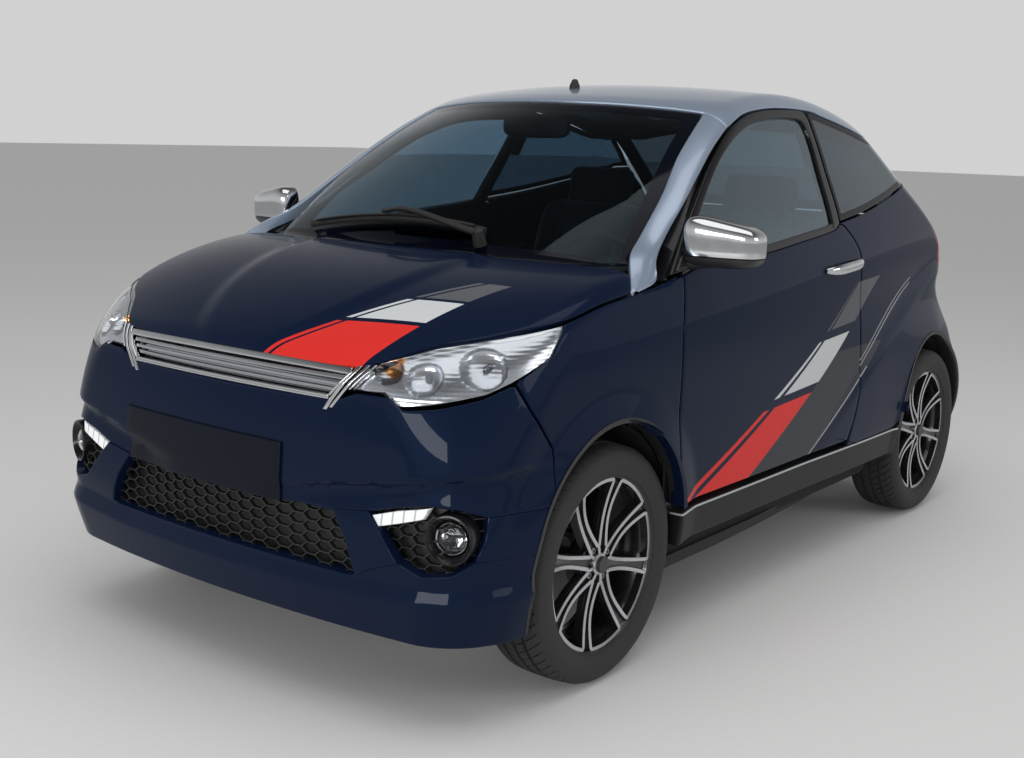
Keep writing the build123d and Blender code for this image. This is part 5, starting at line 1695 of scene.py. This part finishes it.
NODE_FINISH = (
    (("floor_pan",), painted("undercoat", (0.014, 0.014, 0.014), (0.03, 0.029, 0.028), 0.85, 0.0, 9.0)),
    (("cowl",), painted("cowl_plastic", (0.014, 0.014, 0.015), (0.024, 0.024, 0.025), 0.6, 0.0, 20.0)),
    (("engine",), painted("engine_cast", (0.1, 0.1, 0.1), (0.22, 0.22, 0.21), 0.55, 0.8, 24.0)),
    (("front_suspension", "rear_suspension", "knuckle_left", "knuckle_right"),
     painted("steel_parts", (0.05, 0.05, 0.05), (0.13, 0.125, 0.12), 0.5, 0.8, 30.0)))
for nodes, finish in NODE_FINISH:
    for node in nodes:
        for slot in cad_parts[node].material_slots:
            slot.material = finish.material

# ---------------------------------------------------------------------------------------
# Studio: a pale floor, a pale wall of light round the horizon that dims overhead, one large
# soft box above, two softer ones by the nose and the left side, and a camera at eye height
# by the car's left front corner.

floor_finish = Finish("floor", (0.74, 0.74, 0.735), 0.75, 0.0, Specular_IOR_Level=0.1)
speckle = floor_finish.noise(60.0, 5.0)
floor_finish.set("Base Color", floor_finish.blend(speckle, (0.72, 0.72, 0.715), (0.76, 0.76, 0.755)))
bpy.ops.mesh.primitive_plane_add(size=120)
floor = bpy.context.object
floor.name = "studio_floor"
floor.data.materials.append(floor_finish.material)


def soft_box(name, place, aim, wide, high, power):
    """A rectangular lamp at a place, facing a point."""
    lamp = bpy.data.lights.new(name, "AREA")
    lamp.shape, lamp.size, lamp.size_y, lamp.energy = "RECTANGLE", wide, high, power
    holder = bpy.data.objects.new(name, lamp)
    bpy.context.scene.collection.objects.link(holder)
    holder.location = place
    holder.rotation_euler = (Vector(aim) - Vector(place)).to_track_quat("-Z", "Y").to_euler()


soft_box("overhead", (0.8, -1.0, 5.2), (0, -0.2, 0.5), 6.0, 4.0, 100)
soft_box("by_the_nose", (1.2, -7.5, 2.1), (0, -1.2, 0.6), 6.0, 0.9, 165)
soft_box("by_the_side", (7.5, 1.5, 3.2), (0.6, 0, 0.7), 4.0, 2.2, 70)

camera_data = bpy.data.cameras.new("camera")
camera = bpy.data.objects.new("camera", camera_data)
bpy.context.scene.collection.objects.link(camera)
CAMERA_AT = (2.3229, -3.4272, 1.2706)
right, up, back = (0.79153, 0.6104, 0.02988), (-0.1349, 0.12682, 0.98271), (0.59606, -0.78187, 0.18272)
camera.matrix_world = Matrix((*zip(right, up, back, CAMERA_AT), (0, 0, 0, 1)))
camera_data.sensor_width = 36
camera_data.lens = 46.59
bpy.context.scene.camera = camera

world = bpy.data.worlds.new("studio")
bpy.context.scene.world = world
world.use_nodes = True
tree = world.node_tree
ambient = tree.nodes["Background"]
ambient.inputs["Color"].default_value = (1, 1, 1, 1)
ambient.inputs["Strength"].default_value = 0.48
wall = tree.nodes.new("ShaderNodeBackground")
wall.inputs["Strength"].default_value = 1.0
seen = tree.nodes.new("ShaderNodeTexCoord")
height = tree.nodes.new("ShaderNodeSeparateXYZ")
fade = tree.nodes.new("ShaderNodeMapRange")
fade.inputs["From Min"].default_value, fade.inputs["From Max"].default_value = 0.1, 0.75
fade.inputs["To Min"].default_value, fade.inputs["To Max"].default_value = 0.64, 0.1
tree.links.new(seen.outputs["Generated"], height.inputs[0])
tree.links.new(height.outputs["Z"], fade.inputs["Value"])
tree.links.new(fade.outputs["Result"], wall.inputs["Color"])
path = tree.nodes.new("ShaderNodeLightPath")
looks = path.outputs["Is Camera Ray"]
for other in ("Is Glossy Ray", "Is Transmission Ray"):
    either = tree.nodes.new("ShaderNodeMath")
    either.operation = "MAXIMUM"
    tree.links.new(looks, either.inputs[0])
    tree.links.new(path.outputs[other], either.inputs[1])
    looks = either.outputs[0]
pick = tree.nodes.new("ShaderNodeMixShader")
tree.links.new(looks, pick.inputs[0])
tree.links.new(ambient.outputs[0], pick.inputs[1])
tree.links.new(wall.outputs[0], pick.inputs[2])
tree.links.new(pick.outputs[0], tree.nodes["World Output"].inputs[0])
bpy.context.scene.view_settings.view_transform = "Standard"
